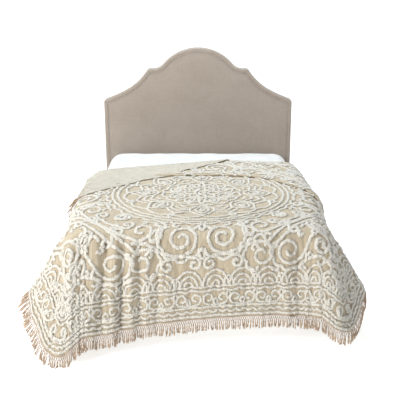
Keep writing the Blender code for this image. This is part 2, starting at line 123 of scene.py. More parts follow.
class Shader:
    """A new material and the nodes behind its one Principled shader."""

    def __init__(self, name: str, constants: dict[str, Union[float, Colour]]) -> None:
        """Makes the material.

        Args:
            name: The material's name.
            constants: Values that are the same all over, by the Principled shader's socket name.
        """
        self.material = bpy.data.materials.new(name)
        self.material.use_nodes = True
        self.tree = self.material.node_tree
        self.surface = self.tree.nodes["Principled BSDF"]
        for socket, value in constants.items():
            self.surface.inputs[socket].default_value = (*value, 1.0) if isinstance(value, tuple) else value

    def add(self, kind: str, settings: dict, inputs: dict) -> bpy.types.Node:
        """Adds one node.

        Args:
            kind: The node's type.
            settings: Its settings, by name.
            inputs: Values, colours, sockets or signals by the input's name or number.

        Returns:
            The node.
        """
        node = self.tree.nodes.new(kind)
        for name, value in settings.items():
            setattr(node, name, value)
        for name, value in inputs.items():
            if isinstance(value, Signal):
                value = value.socket
            if isinstance(value, Socket):
                self.tree.links.new(value, node.inputs[name])
            elif isinstance(value, tuple) and len(node.inputs[name].default_value) == 4:
                node.inputs[name].default_value = (*value, 1.0)[:4]
            else:
                node.inputs[name].default_value = value
        return node

    def place(self, scale: Triple = (1.0, 1.0, 1.0), uv: bool = False) -> Socket:
        """The place on the piece in metres, times scale, from its own coordinates or its UV map."""
        source = self.add("ShaderNodeTexCoord", {}, {}).outputs["UV" if uv else "Object"]
        return self.add("ShaderNodeMapping", {}, {"Vector": source, "Scale": scale}).outputs[0]

    def noise(self, place: Socket, scale: float, detail: float = 3.0, rough: float = 0.5) -> Signal:
        """Soft random patches from 0 to 1, scale of them a metre, with finer layers by detail and rough."""
        inputs = {"Vector": place, "Scale": scale, "Detail": detail, "Roughness": rough}
        return Signal(self, self.add("ShaderNodeTexNoise", {}, inputs).outputs["Fac"])

    def cells(self, place: Socket, scale: float) -> Signal:
        """The distance to the nearest of many scattered points, in cells."""
        node = self.add("ShaderNodeTexVoronoi", {}, {"Vector": place, "Scale": scale})
        return Signal(self, node.outputs["Distance"])

    def axes(self, place: Socket) -> tuple[Signal, Signal, Signal]:
        """The three coordinates of a place."""
        split = self.add("ShaderNodeSeparateXYZ", {}, {"Vector": place})
        return tuple(Signal(self, output) for output in split.outputs)

    def blend(self, share: Value, first: Union[Colour, Socket],
              second: Union[Colour, Socket]) -> Socket:
        """A colour between the first, where share is 0, and the second, where it is 1."""
        node = self.add("ShaderNodeMix", {"data_type": "RGBA"}, {"Factor": share, 6: first, 7: second})
        return node.outputs[2]

    def feed(self, socket: str, value: Union[Signal, Socket]) -> None:
        """Sets what varies in one socket of the Principled shader."""
        self.tree.links.new(value.socket if isinstance(value, Signal) else value, self.surface.inputs[socket])

    def relief(self, height: Signal, distance: float, strength: float = 1.0) -> None:
        """Presses a relief from 0 to 1 into the surface, so many metres deep, and shows a share of it."""
        bump = self.add("ShaderNodeBump", {}, {"Height": height, "Distance": distance, "Strength": strength})
        self.feed("Normal", bump.outputs[0])


@dataclass(frozen=True)
class WovenCotton:
    """The bedspread's ground: a plain weave with slubs, crinkled between the tufting."""

    name: str
    light: Colour
    dark: Colour
    threads: float = 620.0
    crinkle: float = 1.0

    def material(self) -> Material:
        """Makes the material, which follows the flat cloth.

        Returns:
            The material.
        """
        shader = Shader(self.name, {"Roughness": 0.95, "Sheen Weight": 0.25, "Sheen Roughness": 0.5,
                                    "Specular IOR Level": 0.15})
        flat = shader.place(uv=True)
        across, along, _ = shader.axes(flat)
        turn = 2 * pi * self.threads
        weave = (across * turn).sine() * (along * turn).sine() * 0.5 + 0.5
        slubs_across = shader.noise(shader.place((26.0, 700.0, 1.0), uv=True), 1.0, 2.0)
        slubs_along = shader.noise(shader.place((700.0, 26.0, 1.0), uv=True), 1.0, 2.0)
        crinkles = shader.noise(shader.place((46.0, 9.0, 1.0), uv=True), 1.0, 4.0, 0.6)
        patches = shader.noise(flat, 7.0, 3.0)
        # the crinkles darken the colour in their hollows, which is painted shade; the patches and slubs are
        # the cloth's own uneven tone
        tone = patches * 0.45 + slubs_across * 0.3 + slubs_along * 0.25 + (crinkles - 0.5) * 0.5
        shader.feed("Base Color", shader.blend(tone.rise(0.25, 0.75), self.dark, self.light))
        height = weave * 0.1 + slubs_across * 0.12 + slubs_along * 0.12 + crinkles * self.crinkle
        shader.relief(height, 0.006)
        return shader.material


@dataclass(frozen=True)
class ChenilleYarn:
    """Cut pile: short yarn ends that stand up in clumps, with painted shade down between them and down the
    rope's sides.
    """

    name: str = "chenille_yarn"
    tip: Colour = (0.632, 0.606, 0.545)
    # painted shade: the root colour stands for the shade down in the pile, where it meets the cloth
    root: Colour = (0.5, 0.418, 0.292)
    clump: float = 400.0
    bead: float = 0.0132
    wander: float = 9.0

    def material(self) -> Material:
        """Makes the material. The UV map runs along the rope in metres, and across it from 0 to 1.

        Returns:
            The material.
        """
        shader = Shader(self.name, {"Roughness": 1.0, "Sheen Weight": 0.35, "Sheen Roughness": 0.6,
                                    "Specular IOR Level": 0.1})
        along, side, _ = shader.axes(shader.place(uv=True))
        crest = 1.0 - abs(side * 2.5 - 1.0)
        place = shader.place()
        ends = shader.cells(place, self.clump)
        fluff = shader.noise(place, 420.0, 3.0, 0.7)
        tufts = shader.noise(place, 75.0, 2.0)
        wander = shader.noise(place, 60.0, 1.0) * self.wander
        beads = (along * (2 * pi / self.bead) + wander).sine() * 0.5 + 0.5
        # painted shade: the colour falls from the tip colour to the root colour wherever the pile is low:
        # down the rope's sides, between the beads and clumps, and in the tufts' hollows
        depth = crest.rise(0.0, 0.5) * 0.62 + (1.0 - ends) * 0.25 + (tufts - 0.5) * 0.5 + beads * 0.26
        shader.feed("Base Color", shader.blend(depth.rise(0.1, 0.92), self.root, self.tip))
        shader.relief(fluff * 0.3 + (1.0 - ends) * 0.45 + tufts * 0.5 + beads * 0.9, 0.0028)
        return shader.material


@dataclass(frozen=True)
class FringeYarn:
    """Plied cotton yarn: fine diagonal plies, with paler and darker strands."""

    name: str = "fringe_yarn"
    light: Colour = (0.64, 0.51, 0.39)
    dark: Colour = (0.33, 0.225, 0.15)
    twist: float = 900.0
    plies: int = 2

    def material(self) -> Material:
        """Makes the material. The UV map runs along the strand in metres, and round it from 0 to 1.

        Returns:
            The material.
        """
        shader = Shader(self.name, {"Roughness": 0.9, "Sheen Weight": 0.2, "Specular IOR Level": 0.15})
        along, around, _ = shader.axes(shader.place(uv=True))
        plies = (along * self.twist + around * (2 * pi * self.plies)).sine() * 0.5 + 0.5
        strands = shader.noise(shader.place(), 55.0, 2.0)
        fuzz = shader.noise(shader.place(), 700.0, 2.0)
        # the plies darken the colour a little in their grooves, which is painted shade; the paler and darker
        # strands vary at random
        tone = strands * 0.9 + plies * 0.25 + (fuzz - 0.5) * 0.3 - 0.1
        shader.feed("Base Color", shader.blend(tone.rise(0.2, 0.85), self.dark, self.light))
        shader.relief(plies * 0.8 + fuzz * 0.4, 0.0012)
        return shader.material


@dataclass(frozen=True)
class SheetCotton:
    """Smooth white percale with faint creases."""

    name: str
    colour: Colour = (0.7, 0.7, 0.69)
    shade: Colour = (0.6, 0.6, 0.59)

    def material(self) -> Material:
        """Makes the material.

        Returns:
            The material.
        """
        shader = Shader(self.name, {"Roughness": 0.85, "Sheen Weight": 0.2, "Specular IOR Level": 0.2})
        place = shader.place()
        creases = shader.noise(shader.place((1.0, 1.6, 1.0)), 9.0, 4.0, 0.55)
        weave = shader.noise(place, 1100.0, 1.0)
        # painted shade: the creases' hollows are blended towards the shade colour; the weave adds a little
        # random tone
        tone = creases * 0.8 + weave * 0.2
        shader.feed("Base Color", shader.blend(tone.rise(0.25, 0.7), self.shade, self.colour))
        shader.relief(creases + weave * 0.03, 0.012)
        return shader.material


@dataclass(frozen=True)
class Upholstery:
    """A close linen weave with a soft nap, rubbed a little paler where it is handled."""

    name: str
    light: Colour
    dark: Colour

    def material(self) -> Material:
        """Makes the material.

        Returns:
            The material.
        """
        shader = Shader(self.name, {"Roughness": 0.92, "Sheen Weight": 0.35, "Sheen Roughness": 0.45,
                                    "Specular IOR Level": 0.2})
        place = shader.place()
        warp = shader.noise(shader.place((520.0, 60.0, 18.0)), 1.0, 2.0)
        weft = shader.noise(shader.place((18.0, 60.0, 520.0)), 1.0, 2.0)
        nap = shader.noise(place, 3.5, 4.0, 0.6)
        fleck = shader.noise(place, 260.0, 2.0, 0.7)
        tone = warp * 0.3 + weft * 0.3 + nap * 0.3 + fleck * 0.2
        shader.feed("Base Color", shader.blend(tone.rise(0.35, 0.75), self.dark, self.light))
        shader.relief(warp * 0.5 + weft * 0.5 + nap * 0.6, 0.0012)
        return shader.material


@dataclass(frozen=True)
class CoatedSteel:
    """Powder-coated steel with a fine orange-peel."""

    name: str = "coated_steel"
    colour: Colour = (0.055, 0.056, 0.06)

    def material(self) -> Material:
        """Makes the material.

        Returns:
            The material.
        """
        shader = Shader(self.name, {"Metallic": 0.2})
        place = shader.place()
        peel = shader.noise(place, 420.0, 2.0)
        dust = shader.noise(place, 14.0, 5.0, 0.7)
        paler = tuple(2.0 * part for part in self.colour)
        shader.feed("Base Color", shader.blend(dust.rise(0.4, 0.8), self.colour, paler))
        shader.feed("Roughness", dust * 0.25 + 0.38)
        shader.relief(peel, 0.0004)
        return shader.material


@dataclass(frozen=True)
class StainedTimber:
    """Straight-grained timber under a dull stain, grain upright."""

    name: str = "stained_timber"
    light: Colour = (0.3, 0.19, 0.11)
    dark: Colour = (0.15, 0.085, 0.045)

    def material(self) -> Material:
        """Makes the material.

        Returns:
            The material.
        """
        shader = Shader(self.name, {})
        grain = shader.noise(shader.place((90.0, 90.0, 3.5)), 1.0, 4.0, 0.6)
        pores = shader.noise(shader.place((700.0, 700.0, 12.0)), 1.0, 2.0)
        tone = grain * 0.8 + pores * 0.2
        shader.feed("Base Color", shader.blend(tone.rise(0.3, 0.7), self.dark, self.light))
        shader.feed("Roughness", grain * 0.2 + 0.45)
        shader.relief(pores * 0.6 + grain * 0.4, 0.0006)
        return shader.material


# -- Meshes --


def add_object(name: str, data: bpy.types.ID) -> Piece:
    """Puts a new object in the scene.

    Args:
        name: Its name.
        data: Its mesh, camera or light.

    Returns:
        The object.
    """
    made = bpy.data.objects.new(name, data)
    bpy.context.scene.collection.objects.link(made)
    return made


def new_piece(name: str, points: Array, faces: Iterable, uvs: Union[Array, None] = None) -> Piece:
    """Makes a piece from points and faces.

    Args:
        name: The piece's name.
        points: Its points, one row each.
        faces: The point numbers of each face.
        uvs: The UV place of each point, if the piece has a UV map.

    Returns:
        The piece, in the scene.
    """
    mesh = bpy.data.meshes.new(name)
    mesh.from_pydata(np.asarray(points, float).tolist(), [], [list(map(int, face)) for face in faces])
    if uvs is not None:
        layer = mesh.uv_layers.new(name="flat")
        corners = np.empty(len(mesh.loops), np.int32)
        mesh.loops.foreach_get("vertex_index", corners)
        layer.data.foreach_set("uv", np.asarray(uvs, np.float32)[corners].ravel())
    mesh.validate()
    mesh.shade_smooth()
    return add_object(name, mesh)


def finish_piece(piece: Piece, *materials: Material) -> Piece:
    """Dresses a piece and makes it ride on the body.

    Args:
        piece: The piece.
        materials: The materials of its slots.

    Returns:
        The piece.
    """
    piece.data.materials.clear()
    for material in materials:
        piece.data.materials.append(material)
    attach(piece, BODY)
    log.info("%s: %d faces", piece.name, len(piece.data.polygons))
    return piece


def grid_faces(rows: int, columns: int, close_columns: bool = False) -> Array:
    """The faces of a grid of points stored row by row.

    Args:
        rows: How many rows of points.
        columns: How many points in each row.
        close_columns: Whether the last column joins the first.

    Returns:
        Four point numbers for each face.
    """
    last = columns if close_columns else columns - 1
    row, column = np.meshgrid(np.arange(rows - 1), np.arange(last), indexing="ij")
    beside = (column + 1) % columns
    near, far = row * columns, (row + 1) * columns
    return np.stack([near + column, near + beside, far + beside, far + column], -1).reshape(-1, 4)


def unit(vectors: Array) -> Array:
    """The vectors at length 1."""
    return vectors / np.maximum(np.linalg.norm(vectors, axis=-1, keepdims=True), 1e-12)


def circle(angle: Array) -> Array:
    """The points of a circle of radius 1 at these angles."""
    return np.stack([np.cos(angle), np.sin(angle)], 1)


def run_along(line: Array) -> Array:
    """How far along a line each of its points is."""
    return join([[0.0], np.cumsum(np.linalg.norm(np.diff(line, axis=0), axis=1))])


def stretches(shown: Array) -> list[Array]:
    """The numbers of the points in each stretch that shows, where it has three or more."""
    parts = np.split(np.arange(len(shown)), np.flatnonzero(np.diff(shown.astype(int))) + 1)
    return [kept for kept in parts if shown[kept[0]] and len(kept) > 2]


def read_line(places: Array, run: Array, line: Array) -> Array:
    """The points of a line at these distances along it."""
    return np.stack([np.interp(places, run, column) for column in line.T], -1)


@dataclass
class Bundle:
    """Many closed tubes that are gathered into one mesh."""

    points: list[Array] = field(default_factory=list)
    faces: list[Array] = field(default_factory=list)
    caps: list[list[int]] = field(default_factory=list)
    uvs: list[Array] = field(default_factory=list)
    count: int = 0

    def tube(self, path: Array, over: Array, section: Array, sizes: Array, closed: bool = False) -> None:
        """Adds a tube with a section of any shape.

        Args:
            path: The points along its middle.
            over: The way up at each of them.
            section: Rows of (sideways, up), anticlockwise when seen from its far end.
            sizes: The section's scale sideways and up at each point of the path, or at each point and corner.
            closed: Whether its far end joins its start.
        """
        ahead = unit(np.roll(path, -1, 0) - np.roll(path, 1, 0) if closed else np.gradient(path, axis=0))
        sideways = unit(np.cross(ahead, over))
        up = np.cross(sideways, ahead)
        sizes = sizes if sizes.ndim == 3 else sizes[:, None, :]
        shape = section[None] * sizes
        ring = path[:, None] + sideways[:, None] * shape[..., :1] + up[:, None] * shape[..., 1:]
        count, corners = len(path), len(section)
        faces = grid_faces(count + closed, corners, close_columns=True) % (count * corners)
        uvs = np.meshgrid(run_along(path), np.linspace(0, 1, corners), indexing="ij")
        self.uvs.append(np.stack(uvs, -1).reshape(-1, 2))
        self.points.append(ring.reshape(-1, 3))
        self.faces.append(faces + self.count)
        if not closed:
            first = np.arange(corners) + self.count
            self.caps += [list(first), list(first[::-1] + (count - 1) * corners)]
        self.count += count * corners

    def piece(self, name: str) -> Piece:
        """Makes the piece.

        Args:
            name: The piece's name.

        Returns:
            The piece.
        """
        faces = list(join(self.faces)) + self.caps
        made = new_piece(name, join(self.points), faces, join(self.uvs))
        face_outwards(made)
        return made


def face_outwards(piece: Piece) -> None:
    """Turns every face of a closed piece outwards.

    Args:
        piece: The piece.
    """
    bpy.ops.object.select_all(action="DESELECT")
    piece.select_set(True)
    bpy.context.view_layer.objects.active = piece
    bpy.ops.object.mode_set(mode="EDIT")
    bpy.ops.mesh.select_all(action="SELECT")
    bpy.ops.mesh.normals_make_consistent(inside=False)
    bpy.ops.object.mode_set(mode="OBJECT")
    piece.select_set(False)


# -- How the cloth falls --


def table(kind: type, rows: tuple[tuple, ...]) -> tuple:
    """The rows with their columns named."""
    return tuple(kind(*row) for row in rows)


class Fall(NamedTuple):
    """How the cloth falls at one place round the bed's edge.

    "turn" is metres from the foot corner along the side (negative), 0 to 1 round the corner, and 1 plus
    metres along the foot. "heading" is the way it falls, from sideways (0) to footwards (90). "flare" is how
    far it ends from the vertical, and "bend" is the length over which it turns down.
    """

    turn: float
    heading: float
    flare: float
    bend: float


class Tuck(NamedTuple):
    """The tuck at one place across: its edge, its depth, and how far round its bends go, in degrees."""

    across: float
    along: float
    depth: float
    bend: float


class Crease(NamedTuple):
    """A ridge (or a hollow, where the height is negative) on a line from one place on the bed to another."""

    across: float
    along: float
    to_across: float
    to_along: float
    width: float
    height: float


def smooth_step(value: Array) -> Array:
    """0 below 0, 1 above 1, and a smooth rise between."""
    value = np.clip(value, 0, 1)
    return value * value * (3 - 2 * value)


def read_table(rows: tuple, key: str, column: str, at: Array) -> Array:
    """A column of a table at these places, by a smooth curve that never overshoots its rows.

    Args:
        rows: The table.
        key: The column that the places are on.
        column: The column to read.
        at: The places.

    Returns:
        The column's value at each place.
    """
    places = np.array([getattr(row, key) for row in rows], float)
    values = np.array([getattr(row, column) for row in rows], float)
    width = np.diff(places)
    rise = np.diff(values) / width
    slope = np.zeros_like(values)
    slope[0], slope[-1] = rise[0], rise[-1]
    for i in range(1, len(values) - 1):
        if rise[i - 1] * rise[i] > 0:
            before, after = 2 * width[i] + width[i - 1], width[i] + 2 * width[i - 1]
            slope[i] = (before + after) / (before / rise[i - 1] + after / rise[i])
    at = np.clip(at, places[0], places[-1])
    i = np.clip(np.searchsorted(places, at) - 1, 0, len(width) - 1)
    t = (at - places[i]) / width[i]
    start = (1 + 2 * t) * (1 - t) ** 2 * values[i] + t * (1 - t) ** 2 * width[i] * slope[i]
    return start + t * t * (3 - 2 * t) * values[i + 1] + t * t * (t - 1) * width[i] * slope[i + 1]


RIGHT_FALLS = table(Fall, (
    (-1.7, 0, 0, 0.22), (-1.33, 0, 0, 0.3), (-0.8, 0, 3, 0.36), (-0.45, 0, 14, 0.3),
    (-0.25, 0, 28, 0.23), (0.0, 4, 34, 0.2), (0.2, 27, 30, 0.22), (0.4, 52, 27, 0.28),
    (0.6, 68, 24, 0.36), (0.8, 78, 17, 0.34), (0.9, 84, 13, 0.28), (1.0, 90, 11, 0.26),
    (1.2, 90, 7, 0.28), (1.68, 90, 6, 0.3),
))
LEFT_FALLS = table(Fall, (
    (-1.7, 0, 0, 0.22), (-1.33, 0, 0, 0.33), (-0.8, 0, 3, 0.37), (-0.45, 0, 14, 0.31),
    (-0.25, 0, 26, 0.23), (0.0, 4, 33, 0.2), (0.2, 32, 31, 0.22), (0.4, 58, 29, 0.25),
    (0.6, 75, 27, 0.28), (0.8, 86, 25, 0.28), (0.9, 89, 24, 0.28), (1.0, 90, 22, 0.28),
    (1.15, 90, 17, 0.28), (1.3, 90, 11, 0.3), (1.68, 90, 6, 0.3),
))
TUCKS = table(Tuck, (
    (-1.4, 0.92, 0.0, 0), (-0.55, 1.1, 0.0, 0), (-0.44, 1.15, 0.0, 0), (-0.34, 1.17, 0.0, 100),
    (-0.26, 1.18, 0.012, 180), (0.2, 1.18, 0.042, 180), (0.47, 1.12, 0.055, 180),
    (0.59, 1.02, 0.06, 180), (0.68, 0.92, 0.063, 180), (0.754, 0.835, 0.065, 180),
    (0.92, 0.72, 0.068, 180), (1.4, 0.56, 0.07, 180),
))
CREASES = table(Crease, (
    # the foot drop's left half: two deep flutes, then shallow ones
    (-0.62, 0.02, -0.67, -0.62, 0.034, 0.014), (-0.555, -0.02, -0.6, -0.62, 0.022, -0.018),
    (-0.505, -0.02, -0.535, -0.62, 0.024, 0.016), (-0.455, -0.03, -0.475, -0.62, 0.02, -0.026),
    (-0.405, -0.02, -0.415, -0.62, 0.024, 0.018), (-0.36, -0.05, -0.365, -0.62, 0.018, -0.012),
    (-0.31, -0.06, -0.31, -0.62, 0.024, 0.009), (-0.255, -0.08, -0.25, -0.62, 0.02, -0.009),
    (-0.2, -0.06, -0.19, -0.62, 0.026, 0.007), (-0.12, -0.1, -0.11, -0.62, 0.02, -0.006),
    (-0.05, -0.08, -0.05, -0.62, 0.024, -0.007), (0.03, -0.1, 0.03, -0.62, 0.022, 0.005),
    (0.12, -0.06, 0.13, -0.62, 0.026, -0.006), (0.22, -0.08, 0.22, -0.62, 0.024, 0.005),
    (0.3, -0.06, 0.31, -0.62, 0.022, -0.007), (0.39, -0.06, 0.4, -0.62, 0.024, 0.006),
    # the foot drop's right end
    (0.48, -0.05, 0.5, -0.62, 0.024, -0.009), (0.545, 0.00, 0.565, -0.62, 0.024, 0.01),
    (0.61, 0.00, 0.64, -0.62, 0.022, -0.014), (0.69, 0.02, 0.73, -0.6, 0.03, 0.014),
    (0.78, 0.02, 0.89, -0.5, 0.032, -0.012), (0.84, 0.08, 1.04, -0.36, 0.038, 0.01),
    (0.86, 0.14, 1.18, -0.2, 0.036, -0.009), (0.88, 0.22, 1.26, -0.02, 0.044, 0.009),
    # the left corner
    (-0.73, 0.02, -0.82, -0.56, 0.034, -0.013), (-0.8, 0.04, -0.96, -0.44, 0.036, 0.012),
    (-0.85, 0.1, -1.1, -0.3, 0.036, -0.01), (-0.88, 0.18, -1.22, -0.12, 0.044, 0.01),
    # soft rumples on the bed
    (-0.55, 1.02, 0.1, 1.1, 0.04, 0.007), (-0.1, 1.13, 0.6, 0.99, 0.026, 0.006),
    (-0.7, 0.66, 0.3, 0.78, 0.044, 0.005), (0.05, 0.52, 0.74, 0.6, 0.036, 0.005),
    (-0.6, 0.36, 0.02, 0.31, 0.044, 0.005), (0.2, 0.22, 0.7, 0.26, 0.044, 0.004),
    (-0.3, 1.34, 0.5, 1.28, 0.036, 0.006), (0.2, 1.52, 0.72, 1.42, 0.036, 0.006),
    (-0.66, 1.3, -0.3, 1.44, 0.036, 0.006), (-0.72, 0.95, -0.5, 0.62, 0.034, 0.005),
    (-0.35, 0.12, -0.2, 0.5, 0.034, 0.004), (0.34, 0.1, 0.28, 0.46, 0.034, 0.004),
    # down the sides
    (0.92, 1.00, 1.26, 0.96, 0.04, 0.01), (0.9, 0.7, 1.28, 0.64, 0.044, -0.012),
    (0.92, 0.42, 1.26, 0.3, 0.04, 0.01), (0.92, 1.36, 1.28, 1.4, 0.044, -0.008),
    (-0.92, 1.1, -1.28, 1.06, 0.044, 0.01), (-0.9, 0.76, -1.28, 0.72, 0.044, -0.012),
    (-0.92, 0.44, -1.26, 0.32, 0.04, 0.01), (-0.92, 1.44, -1.28, 1.4, 0.04, -0.008),
))


@dataclass
class Drape:
    """How the bedspread lies: the flat cloth's places to places in space."""

    # the mattress, and how the cloth bends over its edges
    mattress_width: float = 1.53
    mattress_length: float = 2.03
    middle: float = 0.75
    inset: float = 0.085
    swing: float = 0.22
    bend_ease: float = 0.12
    arc_steps: int = 40
    # how it lies askew: sideways, towards the foot, and lower on the left
    shift: float = -0.012
    skew_drop: float = 0.046
    skew_reach: float = 0.5
    skew_ends: float = 0.5
    left_drop: float = 0.047
    left_drop_start: float = 0.25
    left_drop_width: float = 0.45
    # the tuck across the bed and the head corner that is folded back
    tuck_radius: float = 0.004
    tuck_settle: float = 0.08
    flap_across: float = 0.3
    flap_along: float = 1.67
    flap_angle: float = math.radians(18)
    flap_radius: float = 0.0075
    flap_gap: float = 0.0085
    flap_settle: float = 0.07
    flap_gather: float = math.radians(8)
    gather_start: float = 0.55
    gather_width: float = 0.7
    # the cut: how far it falls past the mattress, and its round foot corners
    side_fall: float = 0.555
    foot_fall: float = 0.6
    corner_radius: float = 0.28
    # the grid that the places are read from
    mesh_step: float = 0.007
    spare_side: float = 0.14
    spare_foot: float = 0.22
    grid_end: float = 1.96
    # how creases fade, and the size of the puckers and where they run
    crease_end: float = 0.16
    over_foot: float = -0.25
    over_side: float = 1.0
    edge_ease: float = 0.05
    ripple: float = 0.0044
    ripple_waves: int = 14
    ripple_close: Pair = (17, 29)
    ripple_long: Pair = (1.2, 4.0)
    ripple_sway: float = 1.6
    ripple_foot: Pair = (0.06, 0.2)
    ripple_side: Pair = (0.72, 0.2)
    ripple_on_bed: float = 0.45
    # what the folded corner hides
    hem_margin: float = 0.02
    under_reach: float = 0.6

    def __post_init__(self) -> None:
        """Works out the fallen cloth once, on a close grid that the places are then read from."""
        self.half_cloth = self.mattress_width / 2 + self.side_fall
        edge, low = self.half_cloth + self.spare_side, -self.foot_fall - self.spare_foot
        self.grid_across = np.arange(-edge, edge + self.mesh_step, self.mesh_step)
        self.grid_along = np.arange(low, self.grid_end + self.mesh_step, self.mesh_step)
        across, along = np.meshgrid(self.grid_across, self.grid_along)
        fallen = self._fall(across, along)
        fallen = fallen + self._facing(fallen) * self._creased(across, along)[..., None]
        self.fallen, self.facing = fallen, self._facing(fallen)
        self.head_hem = self.flap_along + float(self.take_up(np.array(self.flap_across)))

    def _fall(self, across: Array, along: Array) -> Array:
        """Where the cloth falls, before its creases.

        Args:
            across: Places across the bed.
            along: Places along it, from its foot edge.

        Returns:
            The places in space.
        """
        core = self.mattress_width / 2 - self.inset
        core_x, core_along = np.clip(across, -core, core), np.maximum(along, self.inset)
        out, down = np.abs(across - core_x), core_along - along
        length, corner = np.hypot(out, down), np.arctan2(down, out)
        on_side, on_foot = along > self.inset, np.abs(across) <= core
        turn = np.where(on_foot, 1 + core - np.abs(across), corner / (pi / 2))
        turn = np.where(on_side, self.inset - along, turn)
        columns = ("heading", "flare", "bend")
        right = [read_table(RIGHT_FALLS, "turn", name, turn) for name in columns]
        left = [read_table(LEFT_FALLS, "turn", name, turn) for name in columns]
        heading, flare, bend = (np.where(across >= 0, *sides) for sides in zip(right, left))
        starts = np.where(on_side, 0, np.where(on_foot, pi / 2, corner))
        turned = np.radians(heading) - starts
        reach_x, reach_y, drop = np.zeros_like(length), np.zeros_like(length), np.zeros_like(length)
        for k in range(self.arc_steps):
            here = (k + 0.5) / self.arc_steps * length
            share = np.clip(here / bend, 0, 1)
            slope = (pi / 2 - np.radians(flare)) * (share - self.bend_ease * np.sin(2 * pi * share))
            way = starts + turned * smooth_step(here / self.swing)
            reach_x += np.cos(slope) * np.cos(way)
            reach_y += np.cos(slope) * np.sin(way)
            drop += np.sin(slope)
        step = length / self.arc_steps
        x = core_x + np.sign(across) * reach_x * step
        y = core_along - reach_y * step - self.mattress_length / 2
        return np.stack([x, y, self.middle - drop * step], -1)

    def _creased(self, across: Array, along: Array) -> Array:
        """How far the creases lift the cloth at these places.

        Args:
            across: Places across the bed.
            along: Places along it.

        Returns:
            The lift at each of them.
        """
        height = np.zeros_like(across)
        for crease in CREASES:
            start = np.array([crease.across, crease.along])
            way = np.array([crease.to_across, crease.to_along]) - start
            length = np.linalg.norm(way)
            way /= length
            run = (across - start[0]) * way[0] + (along - start[1]) * way[1]
            off = (across - start[0]) * -way[1] + (along - start[1]) * way[0]
            ends = smooth_step(run / self.crease_end)
            if crease.to_along >= self.over_foot and abs(crease.to_across) <= self.over_side:
                ends = ends * smooth_step((length - run) / self.crease_end)
            height += crease.height * ends * np.exp(-((off / crease.width) ** 2))
        over = smooth_step((self.mattress_width / 2 - self.inset - np.abs(across)) / self.edge_ease)
        over *= smooth_step((along - self.inset) / self.edge_ease)
        height = height + self._rippled(across, along, over)
        return np.where(over > 0, np.maximum(height, height * (1 - over)), height)

    def _rippled(self, across: Array, along: Array, on_bed: Array) -> Array:
        """The small puckers that the tufting draws in, which run down the falls and any way on the bed.

        Args:
            across: Places across the bed.
            along: Places along it.
            on_bed: How far each is in from the bed's edge, from 0 to 1.

        Returns:
            Their height.
        """
        chance = np.random.default_rng(SEED + 1)
        down_foot = smooth_step((self.ripple_foot[0] - along) / self.ripple_foot[1])
        down_side = smooth_step((np.abs(across) - self.ripple_side[0]) / self.ripple_side[1])
        waves = [np.zeros_like(across) for _ in range(3)]
        for _ in range(self.ripple_waves):
            close, long = chance.uniform(*self.ripple_close), chance.uniform(*self.ripple_long)
            phases = chance.uniform(0, 2 * pi, 6)
            for wave, over, down in ((0, across, along), (1, along, across)):
                bend = self.ripple_sway * np.sin(2 * pi * long * 0.7 * down + phases[2 * wave])
                swell = np.sin(2 * pi * long * down + phases[2 * wave + 1])
                waves[wave] += np.sin(2 * pi * close * over + bend) * swell
            run = math.cos(phases[4]) * across + math.sin(phases[4]) * along
            waves[2] += np.sin(2 * pi * 0.55 * close * run + phases[5])
        foot, side, bed = (wave / math.sqrt(self.ripple_waves) for wave in waves)
        share = down_foot / np.maximum(down_foot + down_side, 1e-6)
        falls = (foot * share + side * (1 - share)) * np.maximum(down_foot, down_side)
        return self.ripple * (falls + self.ripple_on_bed * bed * np.maximum(on_bed, 0.4))

    @staticmethod
    def _facing(grid: Array) -> Array:
        """The way out of a grid of places, at each of them."""
        return unit(np.cross(np.gradient(grid, axis=1), np.gradient(grid, axis=0)))

    def _read(self, across: Array, along: Array) -> Arrays:
        """(place, way out) of the fallen cloth between the grid's points.

        Args:
            across: Places across the bed.
            along: Places along it.

        Returns:
            The places in space, and the way out of the cloth at each.
        """
        i = np.clip((across - self.grid_across[0]) / self.mesh_step, 0, len(self.grid_across) - 1.001)
        j = np.clip((along - self.grid_along[0]) / self.mesh_step, 0, len(self.grid_along) - 1.001)
        column, row = i.astype(int), j.astype(int)
        i, j = (i - column)[..., None], (j - row)[..., None]
        read = []
        for grid in (self.fallen, self.facing):
            near = grid[row, column] * (1 - i) + grid[row, column + 1] * i
            far = grid[row + 1, column] * (1 - i) + grid[row + 1, column + 1] * i
            read.append(near * (1 - j) + far * j)
        return read[0], unit(read[1])

    def tuck(self, across: Array) -> tuple[Array, Array, Array]:
        """(where it starts, how deep it is, how far its bends go round) of the tuck at places across."""
        edge, depth, bend = (read_table(TUCKS, "across", name, across) for name in ("along", "depth", "bend"))
        return edge + depth, depth, np.radians(bend)

    def take_up(self, across: Array) -> Array:
        """The length of cloth that the tuck takes up at places across."""
        _, depth, bend = self.tuck(across)
        return 2 * self.tuck_radius * (bend - np.sin(bend)) + depth * (1 - np.cos(bend))

    def laid(self, across: Array, along: Array) -> Arrays:
        """Flat cloth to flat bed: shifted sideways, and skewed towards the foot.

        Args:
            across: Places across the cloth.
            along: Places along it.

        Returns:
            Places across and along the flat bed.
        """
        share = smooth_step((self.skew_ends - along) / self.skew_ends)
        pulled = self.left_drop * smooth_step((-across - self.left_drop_start) / self.left_drop_width)
        skew = self.skew_drop * np.tanh(across / self.skew_reach) - pulled
        return across + self.shift, along + skew * share

